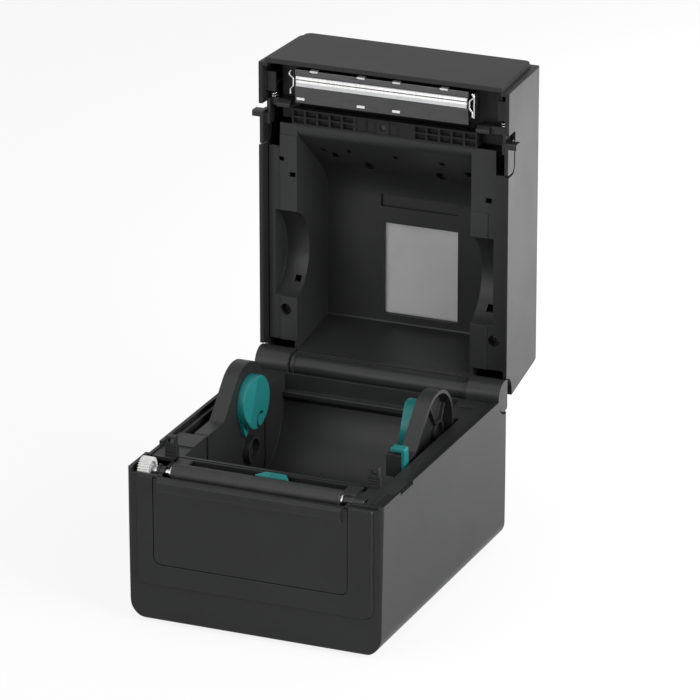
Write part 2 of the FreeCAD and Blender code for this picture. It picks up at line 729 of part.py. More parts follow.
def base_shell():
    shell = cut(body_block(0, RIM_HEIGHT), body_block(WALL, RIM_HEIGHT + 1))
    ledges = []
    for side in (-1, 1):
        for front, rear in LEDGE_PLACES:
            x0, x1 = span(side * (HALF - WALL + WELD), side * (HALF - WALL - LEDGE_DEPTH))
            ledges.append(box(x0, x1, front, rear, FLANGE_LOW - LEDGE_DROP, FLANGE_LOW))
    posts = [rod("z", BOARD_POST_RADIUS, BODY_FLOOR - WELD, BOARD_TOP - BOARD_THICK, x, y)
             for x, y in BOARD_POSTS]
    shell = join(shell, *ledges, *posts)
    back = BODY_DEPTH - WALL - 1
    hole_half = INSERT_HALF - INSERT_LEDGE
    hole_low = INSERT_LOW + INSERT_LEDGE
    hole_left = MECH_X - hole_half
    hole_right = MECH_X + hole_half
    front_hole = prism([(hole_left, hole_low, INSERT_RADIUS), (hole_right, hole_low, INSERT_RADIUS),
                        (hole_right, RIM_HEIGHT + 1), (hole_left, RIM_HEIGHT + 1)], "y", -1, WALL + 1)
    brow_half = HALF - FRONT_CORNER_POST
    brow = box(-brow_half, brow_half, -1, WALL + WELD, PANEL_HIGH, RIM_HEIGHT + 1)
    well = rod("x", HINGE_WELL_RADIUS, -HALF - 1, HALF + 1, HINGE_SETBACK, HINGE_HEIGHT)
    notches = [box(*span(side * (HALF - WALL - 1), side * (HALF + 1)), NOTCH_FRONT, NOTCH_REAR,
                   RIM_HEIGHT - NOTCH_DEPTH, RIM_HEIGHT + 1) for side in (-1, 1)]
    screw_holes = []
    for x, y in FRAME_POSTS + TRAY_POSTS:
        screw_holes.append(rod("z", CASE_SCREW_SHANK + SEAT_GAP, 0, BODY_FLOOR + 1, x, y))
        screw_holes.append(rod("z", CASE_SCREW_HEAD + SEAT_GAP, 0, CASE_SCREW_SEAT, x, y))
    vents = [box(-VENT_HALF, VENT_HALF, VENT_FRONT + VENT_PITCH * i, VENT_FRONT + VENT_PITCH * i + VENT_WIDTH,
                 0, BODY_FLOOR + 1) for i in range(VENT_ROWS)]
    inlet = rod("y", INLET_HOLE, back, BODY_DEPTH + 1, INLET_X, INLET_Z)
    usb = box(USB_X - USB_HALF - SEAT_GAP, USB_X + USB_HALF + SEAT_GAP, back, BODY_DEPTH + 1,
              BOARD_TOP, BOARD_TOP + USB_HEIGHT + SEAT_GAP)
    switch = box(SWITCH_X - HOUSING_HALF - SEAT_GAP, SWITCH_X + HOUSING_HALF + SEAT_GAP, back, BODY_DEPTH + 1,
                 SWITCH_Z - HOUSING_HEIGHT - SEAT_GAP, SWITCH_Z + HOUSING_HEIGHT + SEAT_GAP)
    return cut(shell, front_hole, brow, well, *notches, *screw_holes, *vents, inlet, usb, switch)


def panel_outline(shrink):
    half = PANEL_HALF - shrink
    low = PANEL_LOW + shrink
    high = PANEL_HIGH - shrink
    return [(-half, low, PANEL_RADIUS), (half, low, PANEL_RADIUS),
            (half, high, PANEL_TOP_RADIUS), (-half, high, PANEL_TOP_RADIUS)]


def insert_outline(grow, top):
    half = INSERT_HALF + grow
    return [(MECH_X - half, INSERT_LOW - grow, INSERT_RADIUS + grow),
            (MECH_X + half, INSERT_LOW - grow, INSERT_RADIUS + grow),
            (MECH_X + half, top), (MECH_X - half, top)]


def front_panel():
    panel = taper(panel_outline(0), 0, panel_outline(PANEL_SOFTEN), -PANEL_PROUD, "y")
    return cut(panel, prism(insert_outline(INSERT_GAP, RIM_HEIGHT + 1), "y", -PANEL_PROUD - 1, 1))


def front_cover():
    plate = prism(insert_outline(0, INSERT_HIGH), "y", -INSERT_THICK, 0)
    lip = prism([(0, LIP_LOW), (-INSERT_THICK, LIP_LOW + 2), (-LIP_REACH + 0.4, LIP_LOW + 6, 2.0),
                 (-LIP_REACH, LIP_TOP - 1.8, 1.2), (-LIP_REACH + 2, LIP_TOP, 0.8), (0, LIP_TOP)],
                "x", MECH_X - LIP_HALF - 1, MECH_X + LIP_HALF + 1)
    left = MECH_X - LIP_HALF
    right = MECH_X + LIP_HALF
    ends = prism([(left, 1), (left + LIP_END_SLOPE, -LIP_REACH - 1), (right - LIP_END_SLOPE, -LIP_REACH - 1),
                  (right, 1)], "z", LIP_LOW - 1, LIP_TOP + 1)
    rim_half = INSERT_HALF - INSERT_LEDGE - SEAT_GAP
    rim_left = MECH_X - rim_half
    rim_right = MECH_X + rim_half
    rim_low = INSERT_LOW + INSERT_LEDGE + LIP_BACK
    tongue = prism([(-WELD, LIP_TOP - 4), (LIP_BACK, LIP_TOP - 3), (LIP_BACK, LIP_TOP, 0.6),
                    (-WELD, LIP_TOP)], "x", rim_left, rim_right)
    rim = prism([(rim_left, rim_low, INSERT_RADIUS - 1), (rim_right, rim_low, INSERT_RADIUS - 1),
                 (rim_right, LIP_LOW), (rim_left, LIP_LOW)], "y", -0.1, INSERT_RIM)
    hollow = box(rim_left + INSERT_RIM, rim_right - INSERT_RIM, -0.1, 2 * INSERT_RIM,
                 rim_low + INSERT_RIM, LIP_LOW - INSERT_RIM)
    return join(plate, lip.common(ends), tongue, cut(rim, hollow))


def rubber_feet():
    return group(*[Part.makeCone(FOOT_RADIUS - FOOT_DRAFT, FOOT_RADIUS, FOOT_HEIGHT, V(x, y, 0))
                   for x, y in FOOT_PLACES])


def case_screws():
    return group(*[screw("z", x, y, CASE_SCREW_SEAT - CASE_SCREW_HIGH, CASE_SCREW_SEAT, CASE_SCREW_TIP)
                   for x, y in FRAME_POSTS + TRAY_POSTS])


# Base, roll trough and hinge

def bay(grow, top):
    """Hollow for the roll with a side pocket for each parked holder, or its outside when grown."""
    roll = prism([(BAY_FRONT - grow, BAY_FLOOR - grow, BAY_FRONT_RADIUS + grow),
                  (BAY_REAR + grow, BAY_FLOOR - grow, BAY_REAR_RADIUS + grow),
                  (BAY_REAR + grow, top), (BAY_FRONT - grow, top)],
                 "x", MECH_X - BAY_HALF - grow, MECH_X + BAY_HALF + grow)
    sides = []
    for side in (-1, 1):
        front = BAY_SIDE_FRONT[side] - grow
        rear = BAY_SIDE_REAR + grow
        low = BAY_SIDE_FLOOR - grow
        round_low = BAY_SIDE_RADIUS + grow
        sides.append(prism([(front, low, round_low), (rear, low, round_low), (rear, top), (front, top)],
                           "x", *span(MECH_X, BAY_SIDE_EDGE[side] + side * grow)))
    return join(roll, *sides)


def leg_setback(side):
    """Y of a holder's leg: the left one drives the front rack, the right one the rear rack."""
    return CENTRE_SETBACK + side * (RACK_PITCH_RADIUS + TOOTH_DROP * RACK_MODULE + RACK_DEPTH / 2)


def holder_slot(side):
    """Slot in the trough's floor for a holder's leg, over its whole travel."""
    inner = HOLDER_FACE - HOLDER_TRAVEL - LEG_GAP
    outer = HOLDER_FACE + LEG_WIDTH + LEG_GAP
    middle = leg_setback(side)
    half = RACK_DEPTH / 2 + LEG_GAP
    return box(*span(MECH_X + side * inner, MECH_X + side * outer), middle - half, middle + half,
               RACK_LOW + RACK_HEIGHT, HOLDER_LOW)


def media_tray():
    """Roll trough with its rim flange, hinge barrels, posts and the deck beside the platen's right end."""
    rear = BODY_DEPTH - WALL - SEAT_GAP
    flange = prism([(-FLANGE_HALF, FLANGE_FRONT), (MECH_X, FLANGE_FRONT), (MECH_X, CORNER_FRONT),
                    (FLANGE_HALF, CORNER_FRONT, 1.0), (FLANGE_HALF, rear, FLANGE_RADIUS),
                    (-FLANGE_HALF, rear, FLANGE_RADIUS)], "z", FLANGE_LOW, FLANGE_TOP)
    mechanism_gap = box(CHEEK_LEFT - SEAT_GAP, CHEEK_RIGHT + SEAT_GAP, 0, BAY_FRONT - TRAY_WALL,
                        0, RIM_HEIGHT)
    bush_reach = BUSH_NOSE + LATCH_GAP
    bush_gap = box(MECH_X, BUSH_END + LATCH_GAP, PLATEN_SETBACK - bush_reach, PLATEN_SETBACK + bush_reach,
                   0, RIM_HEIGHT)
    bar_gap = box(-BARREL_INNER_X, BARREL_INNER_X, BAY_REAR + TRAY_WALL, BODY_DEPTH, 0, RIM_HEIGHT)
    shelf_rear = BAY_SIDE_FRONT[-1]
    shelf_depth = SHELF_SHARE * (shelf_rear - CATCH_FRONT - CATCH_DEPTH)
    shelf = box(-FLANGE_HALF, MECH_X - BAY_HALF, shelf_rear - shelf_depth, shelf_rear, FLANGE_LOW, HOLDER_TOP)
    pad_front = BODY_DEPTH - DECK_PAD_INSET
    pad = box(*DECK_PAD, pad_front, pad_front + DECK_PAD_DEPTH, FLANGE_TOP - WELD, FLANGE_TOP + DECK_PAD_HIGH)
    rib = box(FLANGE_HALF - 4 * CORNER_RIB, FLANGE_HALF - 3 * CORNER_RIB, PLATEN_SETBACK - bush_reach,
              CHEEK_REAR - CHEEK_THICK, FLANGE_TOP - WELD, FLANGE_TOP + DECK_PAD_HIGH)
    barrels = []
    for side in (-1, 1):
        x0, x1 = span(side * BARREL_INNER_X, side * (HALF - BARREL_END_GAP))
        barrel = rod("x", BARREL_RADIUS, x0, x1, HINGE_SETBACK, HINGE_HEIGHT)
        barrels.append(barrel.common(box(x0, x1, 0, BODY_DEPTH, 0, HINGE_HEIGHT + 2 * BARREL_RADIUS)))
    posts = [rod("z", TRAY_POST_RADIUS, BODY_FLOOR, FLANGE_LOW + WELD, x, y) for x, y in TRAY_POSTS]
    plate_top = RACK_PLATE_LOW + RACK_PLATE_THICK
    plate_posts = [rod("z", PLATE_POST_RADIUS, plate_top, BAY_FLOOR, MECH_X + x, CENTRE_SETBACK)
                   for x in (-PLATE_POST_X, PLATE_POST_X)]
    deck = cut(flange, mechanism_gap, bush_gap, bar_gap)
    outside = join(bay(TRAY_WALL, FLANGE_TOP), deck, shelf, pad, rib, *posts, *plate_posts)
    ledge_top = RIM_HEIGHT - TROUGH_LEDGE_DROP
    ledge_edge = BAY_REAR - TROUGH_LEDGE
    ledge_low = ledge_top - TROUGH_LEDGE_HIGH
    ledge = prism([(BAY_REAR, ledge_top), (BAY_REAR, ledge_low), (ledge_edge, ledge_low + TROUGH_LEDGE, 1.5),
                   (ledge_edge, ledge_top, 0.8)], "x", MECH_X - BAY_HALF, MECH_X + BAY_HALF)
    recess_top = RIM_HEIGHT - FRONT_RECESS_DROP
    recess = box(*FRONT_RECESS, BAY_FRONT - TRAY_WALL - 1, BAY_FRONT + 1,
                 recess_top - FRONT_RECESS_HIGH, recess_top)
    tray = join(cut(outside, bay(0, RIM_HEIGHT), holder_slot(-1), holder_slot(1), recess), ledge, *barrels)
    pin_bores = []
    for side in (-1, 1):
        x0, x1 = span(side * (BARREL_INNER_X - 1), side * (BARREL_INNER_X + HINGE_PIN_REACH))
        pin_bores.append(rod("x", HINGE_PIN_RADIUS + RUN_FIT / 2, x0, x1, HINGE_SETBACK, HINGE_HEIGHT))
    screw_bores = [rod("z", CASE_SCREW_SHANK + RUN_FIT / 2, 0, CASE_SCREW_TIP + 1, x, y)
                   for x, y in TRAY_POSTS]
    return cut(tray, *pin_bores, *screw_bores)


def hinge_pins():
    pins = []
    for side in (-1, 1):
        x0, x1 = span(side * (BARREL_INNER_X - HINGE_BAR_GAP - HINGE_PIN_REACH + 1),
                      side * (BARREL_INNER_X + HINGE_PIN_REACH - SLIDE_GAP))
        pins.append(rod("x", HINGE_PIN_RADIUS, x0, x1, HINGE_SETBACK, HINGE_HEIGHT))
    return group(*pins)


# Print mechanism in the base

TO_IDLER = math.atan2(IDLER_HEIGHT - PLATEN_HEIGHT, IDLER_SETBACK - PLATEN_SETBACK)
TO_PINION = math.atan2(MOTOR_HEIGHT - IDLER_HEIGHT, MOTOR_SETBACK - IDLER_SETBACK)
IDLER_PHASE = mesh_phase(TO_IDLER, PLATEN_TEETH, TO_IDLER, IDLER_TEETH)
PINION_PHASE = mesh_phase(TO_PINION, IDLER_TEETH, IDLER_PHASE, PINION_TEETH)
ON_PLATEN = (PLATEN_SETBACK, PLATEN_HEIGHT)
ON_IDLER = (IDLER_SETBACK, IDLER_HEIGHT)
ON_MOTOR = (MOTOR_SETBACK, MOTOR_HEIGHT)


def cheek(side):
    """Side plate of the mechanism, with an open half-round seat for the platen's bush."""
    inner = MECH_X + side * CHEEK_INNER
    x0, x1 = span(inner, inner + side * CHEEK_THICK)
    plate = prism([(CHEEK_FRONT, BED_HEIGHT, 2.0), (CHEEK_REAR, BED_HEIGHT, 2.0),
                   (CHEEK_REAR, CHEEK_TOP, 2.0), (CHEEK_FRONT, CHEEK_TOP, 3.0)], "x", x0, x1)
    return cut(plate, rod("x", BUSH_RADIUS + RUN_FIT / 2, x0 - 1, x1 + 1, *ON_PLATEN))


def mechanism_frame():
    bed = box(CHEEK_LEFT, CHEEK_RIGHT, CHEEK_FRONT, CHEEK_REAR, BED_HEIGHT, BED_HEIGHT + BED_THICK)
    posts = [rod("z", POST_RADIUS, BODY_FLOOR, BED_HEIGHT + WELD, x, y) for x, y in FRAME_POSTS]
    ribs = [box(x - 1, x + 1, CHEEK_FRONT, CHEEK_REAR, BED_HEIGHT - BED_RIB, BED_HEIGHT + WELD)
            for x, y in FRAME_POSTS]
    frame = join(cheek(-1), cheek(1), bed, *posts, *ribs)
    bores = [rod("z", CASE_SCREW_SHANK + RUN_FIT / 2, 0, CASE_SCREW_TIP + 1, x, y) for x, y in FRAME_POSTS]
    through = (CHEEK_LEFT - 1, CHEEK_LEFT + CHEEK_THICK + 1)
    pin = rod("x", IDLER_PIN_RADIUS + RUN_FIT / 2, *through, *ON_IDLER)
    shaft = rod("x", 3 * MOTOR_SHAFT_RADIUS, *through, *ON_MOTOR)
    return cut(frame, *bores, pin, shaft)


def platen_shaft():
    half = PRINT_WIDTH / 2 + COLLAR_WIDTH
    core = rod("x", PLATEN_CORE, MECH_X - half, MECH_X + half, *ON_PLATEN)
    journal = rod("x", JOURNAL_RADIUS, GEAR_LEFT - WELD, BUSH_END - 3 * WELD, *ON_PLATEN)
    return join(core, journal)


def platen_rubber():
    half = PRINT_WIDTH / 2
    return ring("x", PLATEN_RADIUS, PLATEN_CORE, MECH_X - half, MECH_X + half, *ON_PLATEN)


def platen_bushes():
    bore = JOURNAL_RADIUS + RUN_FIT
    left = ring("x", BUSH_RADIUS, bore, CHEEK_LEFT, CHEEK_LEFT + CHEEK_THICK + SEAT_GAP, *ON_PLATEN)
    left_flange = ring("x", BUSH_FLANGE, bore, CHEEK_LEFT - COLLAR_WIDTH, CHEEK_LEFT, *ON_PLATEN)
    start = MECH_X + PRINT_WIDTH / 2 + COLLAR_WIDTH + SEAT_GAP
    profile = [(start, 0), (start, BUSH_NOSE), (BUSH_END, BUSH_NOSE, 1.0), (BUSH_END, 0)]
    nose = Part.Face(outline(profile, "z", 0)).revolve(V(0, 0, 0), V(1, 0, 0), 360)
    nose.translate(V(0, *ON_PLATEN))
    seat = rod("x", BUSH_RADIUS, CHEEK_RIGHT - CHEEK_THICK, CHEEK_RIGHT, *ON_PLATEN)
    right = cut(join(nose, seat), rod("x", bore, MECH_X, BUSH_END - WELD, *ON_PLATEN))
    return group(join(left, left_flange), right)


def platen_gear():
    wheel = gear("x", PLATEN_TEETH, GEAR_MODULE, TO_IDLER, GEAR_LEFT, GEAR_RIGHT, *ON_PLATEN, JOURNAL_RADIUS)
    recess = ring("x", BUSH_FLANGE + 1, BUSH_FLANGE - 1, GEAR_RIGHT - 2, GEAR_RIGHT + 1, *ON_PLATEN)
    return cut(wheel, recess)


def idler_gear():
    wheel = gear("x", IDLER_TEETH, GEAR_MODULE, IDLER_PHASE, GEAR_LEFT + 1, GEAR_RIGHT - 1, *ON_IDLER,
                 IDLER_PIN_RADIUS + RUN_FIT)
    return cut(wheel, ring("x", 9.0, 2 * IDLER_PIN_RADIUS, GEAR_RIGHT - 2.6, GEAR_RIGHT, *ON_IDLER))


def idler_pin():
    pin = rod("x", IDLER_PIN_RADIUS, GEAR_LEFT, CHEEK_LEFT + CHEEK_THICK, *ON_IDLER)
    return join(pin, rod("x", 1.8 * IDLER_PIN_RADIUS, GEAR_RIGHT - 1 + SLIDE_GAP, CHEEK_LEFT, *ON_IDLER))


def motor_pinion():
    return gear("x", PINION_TEETH, GEAR_MODULE, PINION_PHASE, GEAR_LEFT + WELD, GEAR_RIGHT - WELD, *ON_MOTOR,
                MOTOR_SHAFT_RADIUS)


def motor_shaft():
    return rod("x", MOTOR_SHAFT_RADIUS, GEAR_LEFT, CHEEK_LEFT + CHEEK_THICK + SHAFT_DEPTH, *ON_MOTOR)


def stepper_motor():
    half = MOTOR_SIZE / 2
    face = CHEEK_LEFT + CHEEK_THICK
    end = face + MOTOR_LENGTH
    waist = half - MOTOR_WAIST
    corners = rectangle(MOTOR_SETBACK - half, MOTOR_SETBACK + half, MOTOR_HEIGHT - half,
                        MOTOR_HEIGHT + half, 2.5)
    middle = rectangle(MOTOR_SETBACK - waist, MOTOR_SETBACK + waist, MOTOR_HEIGHT - waist,
                       MOTOR_HEIGHT + waist, 4.0)
    body = join(prism(corners, "x", face, face + MOTOR_FLANGE),
                prism(middle, "x", face + MOTOR_FLANGE, end - MOTOR_FLANGE),
                prism(corners, "x", end - MOTOR_FLANGE, end))
    return cut(body, rod("x", MOTOR_SHAFT_RADIUS + RUN_FIT, face - 1, face + SHAFT_DEPTH + 1, *ON_MOTOR))


def latch_catches():
    """Square catch loops for the lid's hooks, each on a grooved bracket."""
    catches = []
    loop_low = CATCH_TOP - CATCH_LOOP
    inner = CATCH_HALF - CATCH_BAR
    rear = CATCH_FRONT + CATCH_DEPTH
    step = (loop_low - FLANGE_TOP) / (BRACKET_GROOVES + 1)
    for side in (-1, 1):
        x = MECH_X + side * LATCH_HALF_SPACING
        loop = prism([(x - CATCH_HALF, loop_low - WELD), (x + CATCH_HALF, loop_low - WELD),
                      (x + CATCH_HALF, CATCH_TOP, 0.8), (x - CATCH_HALF, CATCH_TOP, 0.8)],
                     "y", CATCH_FRONT, rear)
        bracket = box(x - BRACKET_HALF, x + BRACKET_HALF, CATCH_FRONT, rear, FLANGE_TOP, loop_low)
        window = box(x - inner, x + inner, 0, BODY_DEPTH, loop_low + CATCH_BAR, CATCH_TOP - CATCH_BAR)
        grooves = [box(x - 2 * BRACKET_HALF, x + 2 * BRACKET_HALF, 0, CATCH_FRONT + BRACKET_GROOVE,
                       FLANGE_TOP + step * (i + 1), FLANGE_TOP + step * (i + 1) + BRACKET_GROOVE)
                   for i in range(BRACKET_GROOVES)]
        catches.append(cut(join(loop, bracket), window, *grooves))
    return group(*catches)


# Paper guide and sensor

def paper_guide():
    left = CHEEK_LEFT + CHEEK_THICK
    right = CHEEK_RIGHT - CHEEK_THICK
    front_top = GUIDE_TOP - GUIDE_DROP
    inner_front = GUIDE_FRONT + GUIDE_THICK
    inner_rear = GUIDE_REAR - GUIDE_THICK / 2
    outer = prism([(GUIDE_FRONT, GUIDE_LOW), (GUIDE_REAR, GUIDE_LOW), (GUIDE_REAR, GUIDE_TOP, 1.2),
                   (GUIDE_FRONT, front_top, 2.0)], "x", left, right)
    inner = prism([(inner_front, GUIDE_LOW - 1), (inner_rear, GUIDE_LOW - 1),
                   (inner_rear, GUIDE_TOP - GUIDE_THICK), (inner_front, front_top - GUIDE_THICK)],
                  "x", left - 1, right + 1)
    slot = box(MECH_X - SENSOR_SLOT_HALF, MECH_X + SENSOR_SLOT_HALF, SENSOR_FRONT - SLIDE_GAP,
               SENSOR_REAR + SLIDE_GAP, GUIDE_TOP - 2 * GUIDE_THICK, GUIDE_TOP + 1)
    return cut(outer, inner, slot)


def sensor_rail():
    return rod("x", RAIL_RADIUS, CHEEK_LEFT + CHEEK_THICK, CHEEK_RIGHT - CHEEK_THICK, RAIL_SETBACK,
               RAIL_HEIGHT)


def sensor_carriage():
    block = box(SENSOR_X - CARRIAGE_HALF, SENSOR_X + CARRIAGE_HALF, SENSOR_FRONT + WELD, SENSOR_REAR - WELD,
                RAIL_HEIGHT - CARRIAGE_DEEP, CARRIAGE_TOP)
    bore = rod("x", RAIL_RADIUS + RUN_FIT, SENSOR_X - 2 * CARRIAGE_HALF, SENSOR_X + 2 * CARRIAGE_HALF,
               RAIL_SETBACK, RAIL_HEIGHT)
    return cut(block, bore)


def media_sensor():
    front_half = SENSOR_FRONT_HALF
    rear_half = SENSOR_REAR_HALF
    plan = [(SENSOR_X - front_half, SENSOR_FRONT, 0.8), (SENSOR_X + front_half, SENSOR_FRONT, 0.8),
            (SENSOR_X + rear_half, SENSOR_REAR, 0.8), (SENSOR_X - rear_half, SENSOR_REAR, 0.8)]
    tile = prism(plan, "z", CARRIAGE_TOP, GUIDE_TOP + SENSOR_PROUD)
    eye = box(SENSOR_X - SENSOR_EYE, SENSOR_X + SENSOR_EYE, SENSOR_FRONT + SENSOR_EYE_INSET,
              SENSOR_REAR - SENSOR_EYE_INSET, GUIDE_TOP - SLIDE_GAP, GUIDE_TOP + 1)
    return cut(tile, eye)


# Roll holders

def holder_outline(side):
    """Arch about the roll's axis with a slope of 45 degrees down to a forward foot."""
    front = HOLDER_FRONT[side]
    return [(front, HOLDER_LOW, 6.0), (ARCH_REAR, HOLDER_LOW, 8.0), (ARCH_REAR, ARCH_TOP, ARCH_RADIUS),
            (SLOPE_END, ARCH_TOP, ARCH_RADIUS - 2), (SLOPE_START, HOLDER_TOP, 5.0), (front, HOLDER_TOP, 1.5)]


def holder(side):
    """Arched roll holder with a rim, ribs and a ring on its open outer side, and the hub's axle inside."""
    face = MECH_X + side * HOLDER_FACE
    rim_x = span(face, face + side * HOLDER_DEPTH)
    shape = holder_outline(side)
    plate = prism(shape, "x", *span(face, face + side * HOLDER_PLATE))
    hollow = Part.Face(outline(shape, "x", rim_x[0] - 1)).makeOffset2D(-HOLDER_RIM)
    block = prism(shape, "x", *rim_x)
    rim = cut(block, hollow.extrude(V(HOLDER_DEPTH + 2, 0, 0)))
    middle = (ROLL_SETBACK + RING_BACK, ROLL_HEIGHT - RING_DROP)
    round_rib = ring("x", *HOLDER_RING, *span(face + side, face + side * RING_DEPTH), *middle)
    ribs = []
    for angle in RIB_ANGLES:
        rib = box(*span(face + side, face + side * RING_DEPTH), -RIB_HALF, RIB_HALF,
                  sum(HOLDER_RING) / 2, HOLDER_LOW)
        rib.rotate(V(0, 0, 0), V(1, 0, 0), angle)
        rib.translate(V(0, *middle))
        ribs.append(rib.common(block))
    axle_end = face - side * (HUB_THICK[side] - 2)
    axle = rod("x", HUB_AXLE, *span(face + side, axle_end), ROLL_SETBACK, ROLL_HEIGHT)
    boss_at = (ROLL_SETBACK, ROLL_HEIGHT - HUB_BOSS_DROP)
    boss = rod("x", HUB_BOSS_RADIUS, *span(face + side, face - side * HUB_BOSS_REACH), *boss_at)
    dish_end = face - side * (HUB_BOSS_REACH + 1)
    dish = rod("x", HUB_BOSS_RADIUS - HUB_BOSS_WALL, *span(face, dish_end), *boss_at)
    leg_y = leg_setback(side)
    leg = box(*span(face, face + side * LEG_WIDTH), leg_y - RACK_DEPTH / 2, leg_y + RACK_DEPTH / 2,
              RACK_LOW + RACK_HEIGHT, HOLDER_LOW + HOLDER_RIM)
    return join(plate, rim, round_rib, *ribs, axle, cut(boss, dish), leg)


def left_holder():
    return holder(-1)


def lock_block_right():
    return LOCK_BLOCK_LEFT + LOCK_BLOCK_WIDTH


def right_holder():
    rear = HOLDER_FRONT[1] + WELD
    return join(holder(1), box(LOCK_BLOCK_LEFT, lock_block_right(), rear - LOCK_BLOCK_DEPTH, rear,
                               LOCK_BLOCK_LOW, LOCK_BLOCK_TOP))


def hub(side):
    """Roll hub that fits inside the roll's core: bevelled disc with a facet, a snap slot and a tail."""
    back = MECH_X + side * (HOLDER_FACE - SLIDE_GAP)
    front = back - side * HUB_THICK[side]
    shoulder = front + side * HUB_CHAMFER
    disc = rod("x", HUB_RADIUS, *span(back, shoulder), ROLL_SETBACK, ROLL_HEIGHT)
    bevel = Part.makeCone(HUB_RADIUS, HUB_RADIUS - HUB_CHAMFER, HUB_CHAMFER,
                          V(shoulder, ROLL_SETBACK, ROLL_HEIGHT), V(-side, 0, 0))
    reach = 2 * HUB_RADIUS
    facet = prism([(front - side, ROLL_SETBACK - HUB_FACET_START / 2),
                   (front, ROLL_SETBACK - HUB_FACET_START),
                   (front + side * HUB_FACET_DEPTH, ROLL_SETBACK - HUB_RADIUS - WELD),
                   (front - side, ROLL_SETBACK - reach)], "z", ROLL_HEIGHT - reach, ROLL_HEIGHT + reach)
    facet.rotate(V(0, ROLL_SETBACK, ROLL_HEIGHT), V(1, 0, 0), -HUB_FACET_TURN)
    turn = FreeCAD.Rotation(V(1, 0, 0), -HUB_FACET_TURN)
    tip = V(0, ROLL_SETBACK, ROLL_HEIGHT) + turn.multVec(V(0, 0, -HUB_TAIL))
    tail = prism([(ROLL_SETBACK - HUB_RADIUS + WELD, ROLL_HEIGHT - 4),
                  (ROLL_SETBACK - 2, ROLL_HEIGHT - HUB_RADIUS + 1), (tip.y + 1, tip.z, 0.8),
                  (tip.y - 1, tip.z + 1, 0.8)], "x", *span(back, back - side * HUB_TAIL_THICK))
    slot_at = (ROLL_SETBACK + HUB_SLOT_BACK, ROLL_HEIGHT - HUB_SLOT_DROP)
    through = span(back + side, front - side)
    slot = ring("x", *HUB_SLOT, *through, *slot_at)
    bridge = box(*through, slot_at[0] + 1, slot_at[0] + 9, slot_at[1] - 7, slot_at[1] + 3)
    bore = rod("x", HUB_AXLE + RUN_FIT, *span(back + side, front + side), ROLL_SETBACK, ROLL_HEIGHT)
    return cut(join(disc, bevel, tail), facet, slot.cut(bridge), bore)


def left_hub():
    return hub(-1)


def right_hub():
    return hub(1)


def rack(side):
    """Rack under a holder's leg, long enough to mesh over the whole travel."""
    outer = MECH_X + side * (HOLDER_FACE + LEG_WIDTH)
    inner = MECH_X - side * RACK_OVERRUN
    first, last = span(outer, inner)
    pitch_line = CENTRE_SETBACK + side * RACK_PITCH_RADIUS
    return prism(rack_points(first, last, pitch_line, -side), "z", RACK_LOW, RACK_LOW + RACK_HEIGHT)


def left_rack():
    return rack(-1)


def right_rack():
    return rack(1)


def centring_pinion():
    low = RACK_LOW + SEAT_GAP
    high = RACK_LOW + RACK_HEIGHT - SEAT_GAP
    return gear("z", CENTRE_TEETH, RACK_MODULE, math.pi / 2, low, high, MECH_X, CENTRE_SETBACK,
                CENTRE_PIN_RADIUS + RUN_FIT)


def rack_plate():
    corners = rectangle(MECH_X - RACK_PLATE_HALF, MECH_X + RACK_PLATE_HALF, CENTRE_SETBACK - RACK_PLATE_REACH,
                        CENTRE_SETBACK + RACK_PLATE_REACH, 4.0)
    plate = prism(corners, "z", RACK_PLATE_LOW, RACK_PLATE_LOW + RACK_PLATE_THICK)
    pin = rod("z", CENTRE_PIN_RADIUS, RACK_PLATE_LOW, RACK_LOW + RACK_HEIGHT, MECH_X, CENTRE_SETBACK)
    return join(plate, pin)


def holder_lock():
    left = lock_block_right() + SLIDE_GAP
    right = left + LOCK_THICK
    tab_left = right - LOCK_TAB
    under = LOCK_TOP - LOCK_THICK
    profile = [(left, LOCK_LOW, 0.6), (right, LOCK_LOW, 0.6), (right, LOCK_TOP, 1.6),
               (tab_left, LOCK_TOP, 0.8), (tab_left, under, 0.8), (left, under, 0.4)]
    rear = HOLDER_FRONT[1] - WELD
    return prism(profile, "y", rear - LOCK_BLOCK_DEPTH + 2, rear)


# Electronics and power entry

def main_board():
    board = prism(rectangle(-BOARD_HALF, BOARD_HALF, BOARD_FRONT, BOARD_REAR, BOARD_RADIUS), "z",
                  BOARD_TOP - BOARD_THICK, BOARD_TOP)
    room = HOUSING_HALF + 3
    switch_room = box(SWITCH_X - room, SWITCH_X + room, BODY_DEPTH - 2 * HOUSING_DEPTH, BOARD_REAR + 1,
                      0, BOARD_TOP + 1)
    return cut(board, switch_room)


def board_parts():
    row = BOARD_FRONT + BOARD_ROW
    capacitors = [rod("z", CAPACITOR_RADIUS, BOARD_TOP, BOARD_TOP + CAPACITOR_HIGH, x, row)
                  for x in CAPACITOR_X]
    half = CHIP_SIZE / 2
    chip = box(CHIP_X - half, CHIP_X + half, row - half, row + half, BOARD_TOP, BOARD_TOP + CHIP_HIGH)
    width, depth, high = HEADER_SIZE
    header = box(HEADER_X - width / 2, HEADER_X + width / 2, row - depth, row, BOARD_TOP, BOARD_TOP + high)
    return group(*capacitors, chip, header)


def power_inlet():
    face = BODY_DEPTH - WALL - SEAT_GAP
    body = box(INLET_X - INLET_HOLE, INLET_X + INLET_HOLE, BOARD_REAR - INLET_DEPTH - 2, face,
               BOARD_TOP, INLET_Z + INLET_HOLE)
    nose = rod("y", INLET_HOLE - SEAT_GAP, face - 1, BODY_DEPTH, INLET_X, INLET_Z)
    socket = rod("y", INLET_SOCKET, BODY_DEPTH - INLET_DEPTH, BODY_DEPTH + 1, INLET_X, INLET_Z)
    pin = rod("y", INLET_PIN, BODY_DEPTH - INLET_DEPTH - 1, BODY_DEPTH - 1.5, INLET_X, INLET_Z)
    return join(cut(join(body, nose), socket), pin)


